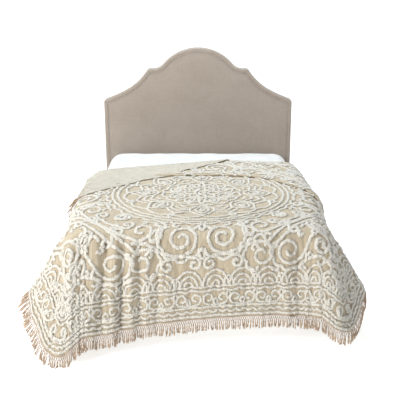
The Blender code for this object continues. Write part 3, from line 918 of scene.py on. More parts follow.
    def _tucked(self, across: Array, along: Array) -> Arrays:
        """(along, lift) after the tuck, which is a Z of two bends that turn back on the cloth below.

        Args:
            across: Places across the bed.
            along: Places along it.

        Returns:
            Places along the bed, and their lift.
        """
        start, depth, bend = self.tuck(across)
        past, radius = along - start, self.tuck_radius
        first = np.clip(past / radius, 0, bend)
        middle = np.clip(past - radius * bend, 0, depth)
        second = np.clip((past - radius * bend - depth) / radius, 0, bend)
        rest = np.maximum(past - 2 * radius * bend - depth, 0)
        moved = radius * (np.sin(first) + np.sin(bend) - np.sin(bend - second)) + middle * np.cos(bend)
        lift = radius * (1 - np.cos(first) + np.cos(bend - second) - np.cos(bend)) + middle * np.sin(bend)
        lift = lift * (1 - smooth_step((rest - depth) / self.tuck_settle))
        return np.where(past < 0, along, start + moved + rest), lift

    def past_flap(self, across: Array, along: Array) -> Array:
        """How far these places lie beyond the line that the head corner is folded about."""
        over = along - self.flap_along
        return over * math.cos(self.flap_angle) - (across - self.flap_across) * math.sin(self.flap_angle)

    def _folded(self, across: Array, along: Array) -> tuple[Array, Array, Array]:
        """(across, along, lift) after the tuck and the folded corner.

        Args:
            across: Places across the bed.
            along: Places along it.

        Returns:
            Places across and along the bed, and their lift.
        """
        along, lift = self._tucked(across, along)
        past, radius = self.past_flap(across, along), self.flap_radius
        turn, back = np.clip(past / radius, 0, pi), np.maximum(past - pi * radius, 0)
        bent, height = radius * np.sin(turn), radius * (1 - np.cos(turn))
        height = height - (2 * radius - self.flap_gap) * smooth_step(back / self.flap_settle)
        move = np.where(past > 0, bent - back - past, 0)
        gathered = smooth_step((-self.gather_start - across) / self.gather_width)
        angle = self.flap_angle + self.flap_gather * gathered
        lift = lift + np.where(past > 0, height, 0)
        return across - move * np.sin(angle), along + move * np.cos(angle), lift

    def at(self, across: Array, along: Array) -> Array:
        """Where the middle of the cloth is.

        Args:
            across: Places across the flat cloth.
            along: Places along it.

        Returns:
            The places in space.
        """
        across, along, lift = self._folded(*self.laid(np.asarray(across, float), np.asarray(along, float)))
        place, out = self._read(across, along)
        return place + out * lift[..., None]

    def out(self, across: Array, along: Array, step: float = 0.0015) -> Array:
        """The way out of the cloth's right side at places on the flat cloth.

        Args:
            across: Places across the cloth.
            along: Places along it.
            step: How far off its neighbours are read.

        Returns:
            The way out at each place.
        """
        over = self.at(across + step, along) - self.at(across - step, along)
        up = self.at(across, along + step) - self.at(across, along - step)
        return unit(np.cross(over, up))

    def hidden(self, across: Array, along: Array) -> Array:
        """Whether the cloth's right side is hidden there: inside the tuck, or in or under the folded corner.

        Args:
            across: Places across the cloth.
            along: Places along it.

        Returns:
            True where it is hidden.
        """
        across, along = self.laid(across, along)
        start, depth, bend = self.tuck(across)
        past, arc = along - start, self.tuck_radius * bend
        in_tuck = (past > 0.006 - depth) & (past < arc + depth + 0.25 * arc) & (bend > 1.0)
        on_bed = self._tucked(across, along)[0]
        beyond = self.past_flap(across, on_bed)
        mirror_across = across + 2 * beyond * math.sin(self.flap_angle)
        mirror_along = on_bed - 2 * beyond * math.cos(self.flap_angle)
        hem = self.head_hem - self.take_up(mirror_across)
        under = (beyond < 0) & (beyond > -self.under_reach) & (mirror_along < hem - self.hem_margin)
        under &= np.abs(mirror_across) < self.half_cloth - self.hem_margin
        return in_tuck | (beyond > 0.2 * self.flap_radius) | under


# -- The tufted pattern --


class Layer(Enum):
    """Which piece a line of tufting belongs to."""

    MEDALLION = "tufting_medallion"
    FIELD = "tufting_field"
    BORDER = "tufting_border"


class Curl(Enum):
    """How a scroll's two ends wind."""

    TOGETHER = 1
    OPPOSITE = -1


class Scroll(NamedTuple):
    """Two volutes joined by one line.

    "hand" is 1 where the first winds anticlockwise, and "bow" lets the line between them swell.
    """

    x: float
    y: float
    radius: float
    to_x: float
    to_y: float
    to_radius: float
    curl: Curl
    hand: int
    bow: float


class Hook(NamedTuple):
    """A hooked line round a point: its radius, its start and its sweep in degrees, and its lobes."""

    x: float
    y: float
    radius: float
    start: float
    sweep: float
    lobes: int = 0


class Leaf(NamedTuple):
    """A pointed loop on a ray from the centre: its start, its end, its half width and its angle."""

    start: float
    end: float
    half: float
    angle: float
    point: float = 0.8


class HemLine(NamedTuple):
    """A line along the hem: how far inside it, and the depth and length of its waves."""

    inset: float
    wave: float
    period: float


class Arch(NamedTuple):
    """An arch that repeats along the border: its middle in periods, its half width, its rise and its foot."""

    middle: float
    half: float
    rise: float
    foot: float


class Arrow(NamedTuple):
    """A chevron that points outwards: the distance of its tip, its half width and the depth of its arms."""

    tip: float
    half: float
    depth: float


class Ring(NamedTuple):
    """A ring: its inner radius, how far its pointed lobes stand out, their number and where they start."""

    radius: float
    wave: float = 0.0
    count: int = 16
    phase: float = 0.0


FLOWER_LEAVES = table(Leaf, (
    (0.046, 0.125, 0.03, 0.0, 0.7), (0.128, 0.245, 0.052, 22.5, 0.7), (0.158, 0.215, 0.018, 22.5),
    (0.165, 0.25, 0.02, 0.0), (0.3, 0.5, 0.082, 0.0), (0.335, 0.455, 0.045, 0.0, 0.85),
    (0.368, 0.418, 0.015, 0.0, 0.85), (0.5, 0.56, 0.02, 22.5),
))
FLOWER_ARROWS = table(Arrow, (
    (0.335, 0.03, 0.022), (0.385, 0.055, 0.04), (0.435, 0.075, 0.055), (0.485, 0.08, 0.06),
))
RINGS = table(Ring, (
    (0.022,), (0.262, 0.02), (0.515, 0.034, 16, 22.5), (0.588,), (0.626,), (0.652, 0.02, 40),
))
EIGHTH_SCROLLS = table(Scroll, (
    (0.128, 0.8, 0.102, 0.372, 0.925, 0.078, Curl.OPPOSITE, -1, 0.3),
    (0.548, 0.905, 0.086, 0.775, 0.878, 0.086, Curl.OPPOSITE, -1, 0.3),
    (0.048, 0.962, 0.04, 0.215, 0.962, 0.04, Curl.TOGETHER, 1, 0.3),
    (0.268, 0.668, 0.04, 0.292, 0.78, 0.034, Curl.OPPOSITE, -1, 0.3),
    (0.655, 1.000, 0.028, 0.905, 1.005, 0.028, Curl.TOGETHER, 1, 0.3),
    (0.515, 0.705, 0.034, 0.585, 0.76, 0.034, Curl.OPPOSITE, 1, 0.3),
))
HOOKS = table(Hook, (
    (0.128, 0.8, 0.128, 150, -205, 5), (0.372, 0.925, 0.104, -75, -170, 4),
    (0.06, 0.712, 0.026, 200, -230), (0.548, 0.905, 0.11, 195, -190, 5),
    (0.775, 0.878, 0.11, 100, -150, 4),
    (0.375, 0.715, 0.1, 250, -130, 3), (0.33, 0.88, 0.02, 90, 300), (0.7, 0.935, 0.02, 0, 300),
    (0.62, 0.8, 0.018, 0, 300), (0.455, 0.87, 0.016, 0, 330), (0.545, 0.64, 0.024, 20, 260),
    (0.668, 0.742, 0.034, 160, 260), (0.455, 1.01, 0.026, -20, 220), (0.415, 0.82, 0.028, 90, 240),
    (0.325, 1.005, 0.026, 200, -220), (0.88, 0.78, 0.026, 30, 230), (0.158, 0.682, 0.022, -60, 230),
    (0.372, 0.62, 0.026, 60, 240), (0.935, 0.905, 0.026, 100, -230), (0.72, 0.8, 0.02, 60, 300),
))
QUARTER_SCROLLS = table(Scroll, (
    (0.375, 0.715, 0.076, 0.715, 0.375, 0.076, Curl.TOGETHER, -1, 0.25),
    (1.092, 1.186, 0.04, 1.186, 1.092, 0.04, Curl.TOGETHER, -1, 0.25),
    (0.462, 0.636, 0.042, 0.636, 0.462, 0.042, Curl.TOGETHER, -1, 0.3),
))
QUARTER_LEAVES = table(Leaf, (
    (0.672, 0.772, 0.044, 45.0), (0.696, 0.75, 0.017, 45.0), (0.962, 1.112, 0.046, 45.0),
    (0.992, 1.078, 0.018, 45.0), (1.22, 1.3, 0.024, 45.0), (1.425, 1.52, 0.024, 45.0),
    (0.678, 0.75, 0.02, 90.0), (0.87, 0.93, 0.016, 90.0),
))
BARS = (0.0, 0.034)
CORNER_LINES = ((1.028, 0.93), (0.992, 0.9), (0.956, 0.905))
HEM_LINES = table(HemLine, (
    (0.016, 0.0, 0.05), (0.045, 0.006, 0.0558), (0.074, 0.002, 0.04), (0.182, 0.004, 0.0838),
    (0.207, 0.002, 0.0838),
))
ARCHES = table(Arch, (
    (0.5, 0.081, 0.1, 1.108), (0.5, 0.053, 0.064, 1.108), (0.5, 0.026, 0.03, 1.108),
    (1.0, 0.03, 0.06, 1.108),
))
BORDER_CURL = Scroll(-0.043, 1.19, 0.04, 0.043, 1.19, 0.04, Curl.TOGETHER, -1, 0.15)
BORDER_LEAVES = (  # how many periods past the arch's middle, how far out, and the leaf
    (0.0, 1.228, Leaf(0, 0.036, 0.012, -90.0, 0.9)), (0.5, 1.15, Leaf(0, 0.044, 0.013, 90.0, 0.9)),
)


def turned(points: Array, degrees: float) -> Array:
    """The flat points turned anticlockwise about the centre."""
    cosine, sine = math.cos(math.radians(degrees)), math.sin(math.radians(degrees))
    return np.asarray(points, float) @ np.array([[cosine, sine], [-sine, cosine]])


@dataclass
class TuftPattern:
    """A generic tufted design, the same in each quarter.

    It is a flower in a double ring, scrolls, bars and an arched border. Its centre is 0, 0, its x runs
    across the cloth and its y towards the foot.
    """

    half_width: float = 1.32
    corner_radius: float = 0.28
    # the scrolls' volutes
    pitch: float = 0.05
    small_pitch: float = 0.027
    eye: float = 0.017
    small_eye: float = 0.6
    small_volute: float = 0.05
    least_turns: float = 0.6
    turn_steps: int = 22
    # how close a line's points are, and the shape of the hooks
    fine_step: float = 0.008
    side_step: float = 0.01
    lobe: float = 0.016
    tighten: float = 0.35
    least_radius: float = 0.012
    # the border's arches and the bars across the corners
    period: float = 0.1675
    arches: int = 6
    bar_start: Pair = (0.385, 0.875)

    def volute(self, centre: Pair, radius: float, leaves: float, hand: int) -> Array:
        """A spiral from its eye outwards.

        Args:
            centre: The middle of its eye.
            radius: How far out it ends.
            leaves: The angle at which it ends, in radians.
            hand: 1 if it winds out anticlockwise, -1 if clockwise.

        Returns:
            Its points.
        """
        pitch, eye = self.pitch, self.eye
        if radius <= self.small_volute:
            pitch, eye = self.small_pitch, self.small_eye * self.eye
        turns = max(self.least_turns, (radius - eye) / pitch)
        inward = np.linspace(1, 0, max(12, int(turns * self.turn_steps)))
        reach = radius - (radius - eye) * inward
        angle = leaves - hand * inward * turns * 2 * pi
        return centre + reach[:, None] * circle(angle)

    def scroll(self, row: Scroll) -> Array:
        """The line of one scroll, from eye to eye.

        Args:
            row: Its sizes.

        Returns:
            Its points.
        """
        across, up = row.to_x - row.x, row.to_y - row.y
        apart = math.hypot(across, up)
        toward = math.atan2(up, across)
        gap = row.radius - row.curl.value * row.to_radius
        first = toward - row.hand * math.acos(max(-1.0, min(1.0, gap / apart)))
        second = first if row.curl is Curl.TOGETHER else first + pi
        to_hand = row.hand * row.curl.value
        first -= row.hand * row.bow
        second += to_hand * row.bow
        start = self.volute((row.x, row.y), row.radius, first, row.hand)
        end = self.volute((row.to_x, row.to_y), row.to_radius, second, -to_hand)[::-1]
        length = np.linalg.norm(end[0] - start[-1]) * (1 + row.bow * 0.5)
        leaving = row.hand * length * np.array([-math.sin(first), math.cos(first)])
        arriving = to_hand * length * np.array([-math.sin(second), math.cos(second)])
        t = np.linspace(0, 1, 16)[:, None]
        link = (2 * t**3 - 3 * t * t + 1) * start[-1] + (t**3 - 2 * t * t + t) * leaving
        link = link + (3 * t * t - 2 * t**3) * end[0] + (t**3 - t * t) * arriving
        return join([start[:-1], link, end[1:]])

    def leaf(self, row: Leaf, at: Pair = (0.0, 0.0)) -> Array:
        """The line round one leaf.

        Args:
            row: Its sizes.
            at: Where its ray starts.

        Returns:
            Its points.
        """
        share = np.linspace(0, 1, 20)
        half = row.half * np.sin(pi * share**0.85) ** row.point
        along = row.start + (row.end - row.start) * share
        back = np.stack([along[::-1], -half[::-1]], 1)[1:]
        return turned(join([np.stack([along, half], 1), back]), row.angle) + at

    def hook(self, row: Hook) -> Array:
        """The line of one hook, which tightens a little towards its end.

        Args:
            row: Its sizes.

        Returns:
            Its points.
        """
        share = np.linspace(0, 1, max(6, int(abs(math.radians(row.sweep)) * row.radius / self.fine_step)))
        angle = np.radians(row.start + row.sweep * share)
        reach = row.radius * (1 - self.tighten * share * min(abs(row.sweep) / 300, 1) * (row.lobes == 0))
        reach = reach + self.lobe * np.abs(np.sin(pi * row.lobes * share))
        return (row.x, row.y) + reach[:, None] * circle(angle)

    def arrow(self, row: Arrow, angle: float) -> Array:
        """The line of one chevron.

        Args:
            row: Its sizes.
            angle: Where it points, in degrees.

        Returns:
            Its points.
        """
        bent = (row.tip - row.depth * 0.35, row.half * 0.45)
        half = np.array([(row.tip - row.depth, row.half), bent, (row.tip, 0)])
        line = join([half, half[1::-1] * (1, -1)])
        return turned(self.straight(*line), angle)

    def straight(self, *corners: Pair) -> Array:
        """A line of straight stretches from corner to corner.

        Args:
            corners: Its corners, in order.

        Returns:
            Its points.
        """
        line = [np.array(corners[0], float)[None]]
        for start, end in zip(corners, corners[1:]):
            count = max(2, int(math.dist(start, end) / self.side_step))
            share = np.linspace(0, 1, count + 1)[1:, None]
            line.append(np.array(start) + (np.array(end) - np.array(start)) * share)
        return join(line)

    def ring(self, row: Ring) -> Array:
        """The line of one ring, whose last point lies on its first.

        Args:
            row: Its sizes.

        Returns:
            Its points.
        """
        angle = np.linspace(0, 2 * pi, max(24, int(2 * pi * row.radius / self.fine_step)) + 1)
        reach = row.radius + row.wave * np.abs(np.sin((angle - math.radians(row.phase)) * row.count / 2))
        return reach[:, None] * circle(angle)

    def hem_line(self, row: HemLine) -> Array:
        """Half a side's line along the hem, from its middle to the middle of its round corner.

        Args:
            row: Its sizes.

        Returns:
            Its points.
        """
        edge = self.half_width - row.inset
        radius = max(self.corner_radius - row.inset, self.least_radius)
        turn = edge - radius
        side = np.linspace(0, turn, int(turn / self.side_step))
        angle = np.linspace(0, pi / 4, max(3, int(radius * 0.785 / self.side_step)))[1:]
        corner = np.stack([turn + radius * np.sin(angle), turn + radius * np.cos(angle)], 1)
        line = join([np.stack([side, np.full_like(side, edge)], 1), corner])
        way = unit(np.gradient(line, axis=0))
        run = run_along(line)
        wave = row.wave * np.sin(2 * pi * run / row.period)
        return line + np.stack([-way[:, 1], way[:, 0]], 1) * wave[:, None]

    def medallion(self) -> list[Array]:
        """The flower and its rings.

        Returns:
            Its lines.
        """
        lines = [self.ring(row) for row in RINGS]
        for k in range(8):
            lines += [self.leaf(row._replace(angle=row.angle + 45 * k)) for row in FLOWER_LEAVES]
            lines += [self.arrow(row, 45 * k + 22.5) for row in FLOWER_ARROWS]
        return lines

    def eighth(self) -> list[Array]:
        """What repeats, mirrored, eight times between the ring and the border."""
        return [self.scroll(row) for row in EIGHTH_SCROLLS] + [self.hook(row) for row in HOOKS]

    def quarter(self) -> list[Array]:
        """What repeats four times, on the diagonals.

        Returns:
            Its lines.
        """
        lines = [self.scroll(row) for row in QUARTER_SCROLLS] + [self.leaf(row) for row in QUARTER_LEAVES]
        near, far = self.bar_start
        lines += [self.straight((near + bar, far + bar), (far + bar, near + bar)) for bar in BARS]
        lines += [self.straight((start, line), (line, line), (line, start)) for line, start in CORNER_LINES]
        return lines

    def border(self) -> list[Array]:
        """What repeats, mirrored, along each side: lines along the hem, arches in arches and small curls.

        Returns:
            Its lines.
        """
        lines = [self.hem_line(row) for row in HEM_LINES]
        angle = np.linspace(0, pi, 18)
        for k in range(self.arches):
            for row in ARCHES:
                across = (k + row.middle) * self.period + row.half * np.cos(angle)
                lines.append(np.stack([across, row.foot - row.rise * np.sin(angle)], 1))
            middle = (k + 0.5) * self.period
            curl = BORDER_CURL._replace(x=middle + BORDER_CURL.x, to_x=middle + BORDER_CURL.to_x)
            lines.append(self.scroll(curl))
            for past, out, leaf in BORDER_LEAVES:
                lines.append(self.leaf(leaf, (middle + past * self.period, out)))
        return lines

    def lines(self) -> dict[Layer, list[Array]]:
        """Every line of tufting, by the piece that it belongs to.

        Returns:
            The lines, each a row of points.
        """
        found = {Layer.MEDALLION: self.medallion(), Layer.FIELD: [], Layer.BORDER: []}
        eighth, border, quarter = self.eighth(), self.border(), self.quarter()
        for k in range(4):
            found[Layer.FIELD] += [turned(line, 90 * k) for line in quarter]
            for mirror in (1, -1):
                found[Layer.FIELD] += [turned(line * (mirror, 1), 90 * k) for line in eighth]
                found[Layer.BORDER] += [turned(line * (mirror, 1), 90 * k) for line in border]
        return found


# -- The bedspread --


@dataclass
class Fringe:
    """The knotted fringe: a twisted cord along the hem, a lattice of strands, and a tassel at each knot."""

    drape: Drape
    # the lattice and its tassels
    pitch: float = 0.014
    header: float = 0.034
    tassel: float = 0.055
    tassel_lengths: Pair = (0.82, 1.12)
    tassel_swells: Pair = (0.85, 1.25)
    tassel_sway: float = 0.0045
    tassel_kick: float = 0.003
    tassel_shape: tuple[float, ...] = (0.8, 1.0, 1.05, 1.0, 1.05, 1.1, 1.1, 0.55)
    knot_shape: tuple[float, ...] = (0.55, 1.0, 1.0, 0.55)
    strand: float = 0.002
    ply: float = 0.003
    ply_twist: float = 5.5
    ply_lift: float = 0.0009
    upper_knot: float = 0.003
    lower_knot: float = 0.0036
    # the cord along the hem
    binding: float = 0.0027
    binding_step: float = 0.007
    hem_step: float = 0.001
    fringe_end: float = 0.004
    # how it hangs: off the cloth, splayed at the left corner, and clear of the floor
    stand_off: float = 0.05
    hang_left: float = 0.3
    splay_left: float = 0.28
    splay_from: Pair = (0.9, 0.16)
    hang_right: float = 1.0
    hang_header: float = 0.45
    hang_reach: float = 0.03
    floor_gap: float = 0.004
    floor_push: float = 0.6

    def __post_init__(self) -> None:
        """Works out where the hem is, which way the fringe leaves it and how freely it hangs there."""
        self.bundle, self.section = Bundle(), circle(np.linspace(0, 2 * pi, 6, endpoint=False))
        self.square = np.array([(1.0, 0.0), (0.0, 1.0), (-1.0, 0.0), (0.0, -1.0)])
        flat = self.hem()
        self.draped = self.drape.at(*flat.T)
        self.run = run_along(self.draped)
        outwards = unit(np.stack([-np.gradient(flat[:, 1]), np.gradient(flat[:, 0])], 1))
        beyond = flat + outwards * 0.004
        self.ahead = unit(self.drape.at(*beyond.T) - self.draped)
        off = unit(np.cross(self.ahead, unit(np.gradient(self.draped, axis=0))))
        self.off = off * np.sign((off[:, :2] * self.draped[:, :2]).sum(1, keepdims=True))
        self.hanging = 1 - smooth_step(self.drape.past_flap(*self.drape.laid(*flat.T)) / 0.02 + 1)

    def hem(self) -> Array:
        """Close places along the hem: down the right side, across the foot, up the left and on to the flap.

        Returns:
            Places across and along the cloth.
        """
        drape, radius = self.drape, self.drape.corner_radius
        side, foot = drape.half_cloth - radius, radius - drape.foot_fall
        angle = np.linspace(0, pi / 2, 60)
        right = np.stack([side + radius * np.cos(angle), foot - radius * np.sin(angle)], 1)
        left = right[::-1] * (-1, 1)
        end = drape.head_hem - self.fringe_end
        corners = join([[(drape.half_cloth, end)], right, left, [(-drape.half_cloth, end)]])
        run = run_along(corners)
        places = np.arange(0, run[-1], self.hem_step)
        return read_line(places, run, corners)

    def spot(self, places: Array, down: Array, lift: Array) -> Array:
        """Places on the fringe.

        Args:
            places: How far along the hem.
            down: How far below it.
            lift: How far off the cloth.

        Returns:
            The places in space.
        """
        grids = (self.draped, self.ahead, self.off, self.hanging[:, None])
        hem, ahead, off, hanging = (read_line(places, self.run, grid) for grid in grids)
        down, lift = np.asarray(down)[..., None], np.asarray(lift)[..., None]
        splay = smooth_step((-hem[..., :1] - self.splay_from[0]) / self.splay_from[1])
        way = unit(ahead + off * (self.stand_off + self.splay_left * splay))
        free, gravity = np.maximum(down - self.header, 0), np.array([0.0, 0.0, -1.0])
        hang = hanging * np.where(hem[..., :1] > 0, self.hang_right, self.hang_left) * (1 - 0.5 * splay)
        way = unit(way * (1 - self.hang_header * hang) + gravity * self.hang_header * hang)
        share = hang * smooth_step(free / self.hang_reach)
        lower = unit(way * (1 - share) + gravity * share)
        found = hem + way * np.minimum(down, self.header) + lower * free + off * lift
        low = self.floor_gap - found[..., 2:]
        found[..., 2:] = np.where(low > 0, self.floor_gap, found[..., 2:])
        return found + way * (self.floor_push * np.maximum(low, 0)) * (1.0, 1.0, 0.0)

    def _strand(self, path: Array, over: Array, section: Array, radius: Union[float, Array]) -> None:
        """One strand of yarn, with a radius that may change along it."""
        sizes = np.broadcast_to(np.broadcast_to(radius, len(path))[:, None], (len(path), 2))
        self.bundle.tube(path, np.broadcast_to(over, path.shape), section, sizes)

    def _over(self, across: float, down: float, path: Array) -> Array:
        """The way off the cloth at one place, from the start of a path there."""
        return self.spot(np.array([across]), np.array([down]), np.array([0.01]))[0] - path

    def _binding(self) -> None:
        """The twisted cord that the fringe hangs from, along the hem."""
        places = np.arange(0.003, self.run[-1] - 0.003, self.binding_step)
        path = self.spot(places, np.full_like(places, 0.002), np.zeros_like(places))
        over = unit(self.spot(places, np.full_like(places, 0.012), np.zeros_like(places)) - path)
        sizes = self.binding * (1 + 0.14 * np.sin(np.arange(len(places)) * 2.1))[:, None]
        self.bundle.tube(path, over, self.section, np.broadcast_to(sizes, (len(places), 2)))

    def _lattice(self, middle: float, pitch: float, rows: Triple) -> None:
        """The crossed strands above one tassel.

        Args:
            middle: The tassel's place along the hem.
            pitch: How far apart the tassels are.
            rows: How far below the hem the lattice starts, and its two rows of knots.
        """
        share, over = np.linspace(0, 1, 4), self.off[min(int(middle * 1000), len(self.off) - 1)]
        for row, (top, bottom) in enumerate(zip(rows, rows[1:])):
            for hand in (-1, 1):
                across = middle + pitch / 2 * (row % 2) + hand * pitch / 2 * share
                lift = hand * self.ply_lift * np.sin(pi * share)
                path = self.spot(across, top + (bottom - top) * share, lift)
                self._strand(path, over, self.square, self.strand)

    def _knot(self, across: float, down: float, radius: float) -> None:
        """One knot: a short fat barrel round the strands that meet there.

        Args:
            across: How far along the hem it is.
            down: How far below it.
            radius: Its radius.
        """
        share = np.linspace(-1, 1, len(self.knot_shape))
        path = self.spot(np.full(len(share), across), down + share * radius * 1.15, np.zeros(len(share)))
        over = self._over(across, down, path[1])
        self._strand(path, over, self.section, radius * np.array(self.knot_shape))

    def _tassel(self, across: float, chance: Chance) -> None:
        """Two strands that twist round each other below a knot and end ragged.

        Args:
            across: The knot's place along the hem.
            chance: Where their unevenness comes from.
        """
        length = self.tassel * chance.uniform(*self.tassel_lengths)
        sway, swell = chance.normal(0, self.tassel_sway), chance.uniform(*self.tassel_swells)
        kick, start = chance.normal(0, self.tassel_kick), chance.uniform(0, 2 * pi)
        share = np.linspace(0, 1, len(self.tassel_shape))
        centre = across + sway * share**1.6, self.header + 0.001 + length * share, kick * share**2
        for hand in (0, 1):
            turn = start + pi * hand + self.ply_twist * share
            apart = self.strand * swell * (0.7 + 0.6 * share)
            path = self.spot(centre[0] + apart * np.cos(turn), centre[1], centre[2] + apart * np.sin(turn))
            over = self._over(across, self.header, path[0])
            self._strand(path, over, self.square, self.ply * swell * np.array(self.tassel_shape))

    def build(self, yarn: Material) -> Piece:
        """Builds the fringe.

        Args:
            yarn: Its finish.

        Returns:
            The fringe.
        """
        chance = np.random.default_rng(SEED + 9)
        count = int(self.run[-1] / self.pitch)
        pitch = self.run[-1] / count
        self._binding()
        rows = (0.0015, 0.5 * self.header, self.header)
        for k in range(count):
            middle = (k + 0.5) * pitch
            self._lattice(middle, pitch, rows)
            self._knot(middle + pitch / 2, rows[1], self.upper_knot)
            self._knot(middle, rows[2], self.lower_knot)
            self._tassel(middle, chance)
        piece = finish_piece(self.bundle.piece("knotted_fringe"), yarn)
        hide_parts("fringe")
        return piece


@dataclass
class Bedspread:
    """The bedspread: its woven ground, its lines of cut pile and, on its hem, the knotted fringe."""

    drape: Drape
    pattern: TuftPattern
    cloth: float = 0.003
    # where the pattern's centre lies on the cloth
    middle_along: float = 0.72
    middle_across: float = 0.045
    # the mesh of the cloth
    across_steps: int = 228
    foot_steps: int = 150
    tuck_steps: int = 4
    flap_steps: int = 13
    head_steps: int = 32
    # the ropes of cut pile: their widths on the flower, the field and the border, and how uneven they are
    rope_widths: Triple = (0.021, 0.025, 0.0182)
    rope_height: float = 0.0078
    height_share: Pair = (0.45, 0.22)
    tuft_swing: float = 0.12
    width_spread: float = 0.13
    height_spread: float = 0.18
    lump_spread: float = 0.1
    sway_spread: float = 0.0016
    end_size: float = 0.62
    stray: float = 0.0013
    # the stitches on the wrong side, and what the tufting leaves bare at the head hem
    stitch_width: float = 0.006
    stitch_height: float = 0.0012
    hem_bare: float = 0.012
    rope_step: float = 0.0066

    def ground(self, face: Material, reverse: Material) -> Piece:
        """Builds the cloth, from the foot hem over the bed to the head hem, with its folded head corner.

        Args:
            face: The right side's finish.
            reverse: The wrong side's finish.

        Returns:
            The cloth.
        """
        drape = self.drape
        across = np.linspace(-drape.half_cloth, drape.half_cloth, self.across_steps + 1)
        rows = np.stack([self._rows(place + drape.shift) for place in across], 1)
        across = np.broadcast_to(across, rows.shape)
        flat = np.stack(self._round_corners(across, rows), -1)
        points = drape.at(flat[..., 0], flat[..., 1])
        faces = grid_faces(*rows.shape)
        made = new_piece("bedspread_ground", points.reshape(-1, 3), faces, flat.reshape(-1, 2))
        finish_piece(made, face, reverse)
        bpy.context.view_layer.objects.active = made
        thick = made.modifiers.new("thickness", "SOLIDIFY")
        thick.thickness, thick.offset = self.cloth, 0
        thick.material_offset = 1
        bpy.ops.object.modifier_apply(modifier=thick.name)
        return made

    def _rows(self, across: float) -> Array:
        """The places along one column of the cloth, closer together in the tuck and in the flap's bend.

        Args:
            across: Where the column is on the flat bed.

        Returns:
            The places.
        """
        drape = self.drape
        place = np.array(across)
        start, depth, bend = (float(value) for value in drape.tuck(place))
        arc = drape.tuck_radius * bend
        steps = arc * np.linspace(0, 1, self.tuck_steps + 1)
        bends = join([start + steps, start + arc + depth + steps])
        hem = drape.head_hem
        past = float(drape.past_flap(place, np.array(hem - float(drape.take_up(place)))))
        past = max(past, 0.0) if across < drape.flap_across else 0.0
        crest = hem - past / math.cos(drape.flap_angle)
        half_turn = min(pi * drape.flap_radius, past * 0.4)
        flat = np.linspace(half_turn, past, self.flap_steps + 1)[1:]
        flap = join([np.linspace(0, half_turn, 7)[1:], flat])
        bed = np.linspace(-drape.foot_fall, start, self.foot_steps)
        head = np.linspace(bends[-1], crest, self.head_steps)[1:]
        return join([bed[:-1], bends, head, crest + flap / math.cos(drape.flap_angle)])

    def _round_corners(self, across: Array, along: Array) -> Arrays:
        """Draws the grid's square foot corners in to the cloth's round cut.

        Args:
            across: Places across the cloth.
            along: Places along it.

        Returns:
            The places, drawn in.
        """
        drape, radius = self.drape, self.drape.corner_radius
        square_x, square_along = drape.half_cloth - radius, radius - drape.foot_fall
        i = np.clip((np.abs(across) - square_x) / radius, 0, None)
        j = np.clip((square_along - along) / radius, 0, None)
        corner = (i > 0) & (j > 0)
        round_x = np.sign(across) * (square_x + radius * i * np.sqrt(np.maximum(1 - j * j / 2, 0)))
        round_along = square_along - radius * j * np.sqrt(np.maximum(1 - i * i / 2, 0))
        return np.where(corner, round_x, across), np.where(corner, round_along, along)

    def tufting(self, yarn: Material) -> list[Piece]:
        """Builds the lines of cut pile, one piece for each layer of the pattern.

        Args:
            yarn: Its finish.

        Returns:
            The pieces.
        """
        made = []
        for number, (layer, lines) in enumerate(self.pattern.lines().items()):
            chance, bundle = np.random.default_rng(SEED + number), Bundle()
            for line in lines:
                for run, closed in self._visible_runs(line):
                    self._rope(bundle, run, closed, self.rope_widths[number], chance)
            piece = finish_piece(bundle.piece(layer.value), yarn)
            made.append(piece)
        return made

    def stitches(self, thread: Material) -> Piece:
        """Builds the flat stitches that the wrong side shows where the corner is folded back.

        Args:
            thread: Their finish.

        Returns:
            The piece.
        """
        chance, bundle = np.random.default_rng(SEED + 5), Bundle()
        angles = np.linspace(0, pi, 4)
        section = join([circle(angles), [(0.0, -0.3)]])
        for line in (line for lines in self.pattern.lines().values() for line in lines):
            flat = self._stepped(line)[0]
            on_bed = self.drape.laid(*flat.T)
            beyond = self.drape.past_flap(on_bed[0], on_bed[1] - self.drape.take_up(on_bed[0]))
            shown = (beyond > 2 * self.drape.flap_radius) & (flat[:, 1] < self.drape.head_hem - self.hem_bare)
            for kept in stretches(shown):
                place = self.drape.at(*flat[kept].T)
                under = -self.drape.out(*flat[kept].T)
                width = self.stitch_width / 2 * (1 + 0.2 * chance.uniform(-1, 1, len(kept)))
                sizes = np.stack([width, np.full(len(kept), self.stitch_height)], -1)
                bundle.tube(place + under * self.cloth / 2, under, section, sizes)
        return finish_piece(bundle.piece("reverse_stitches"), thread)

    def _flat(self, line: Array) -> Array:
        """Pattern places to places on the flat cloth.

        Args:
            line: Pattern places.

        Returns:
            Places across and along the cloth.
        """
        wide, run = self.pattern.half_width, line[:, 0] * 84 + line[:, 1] * 41
        across = line[:, 0] + self.middle_across * (1 - (line[:, 0] / wide) ** 2)
        flat = np.stack([across, self.middle_along - line[:, 1]], 1)
        other = line[:, 0] * -47 + line[:, 1] * 93
        stray = [np.sin(run) + 0.8 * np.sin(1.7 * other + 2), np.sin(other + 1) + 0.8 * np.sin(1.6 * run)]
        inside = smooth_step((wide - np.abs(line).max(1)) / 0.1)[:, None]
        return flat + self.stray * np.stack(stray, 1) * inside

    def _stepped(self, line: Array) -> tuple[Array, bool]:
        """(even steps on the flat cloth, whether they close) of one line of the pattern.

        Args:
            line: Pattern places.

        Returns:
            The places, and whether they close.
        """
        flat = self._flat(line)
        run = run_along(flat)
        count = max(3, int(run[-1] / self.rope_step))
        closed = bool(np.linalg.norm(flat[0] - flat[-1]) < 1e-6)
        places = np.linspace(0, run[-1], count, endpoint=not closed)
        return read_line(places, run, flat), closed

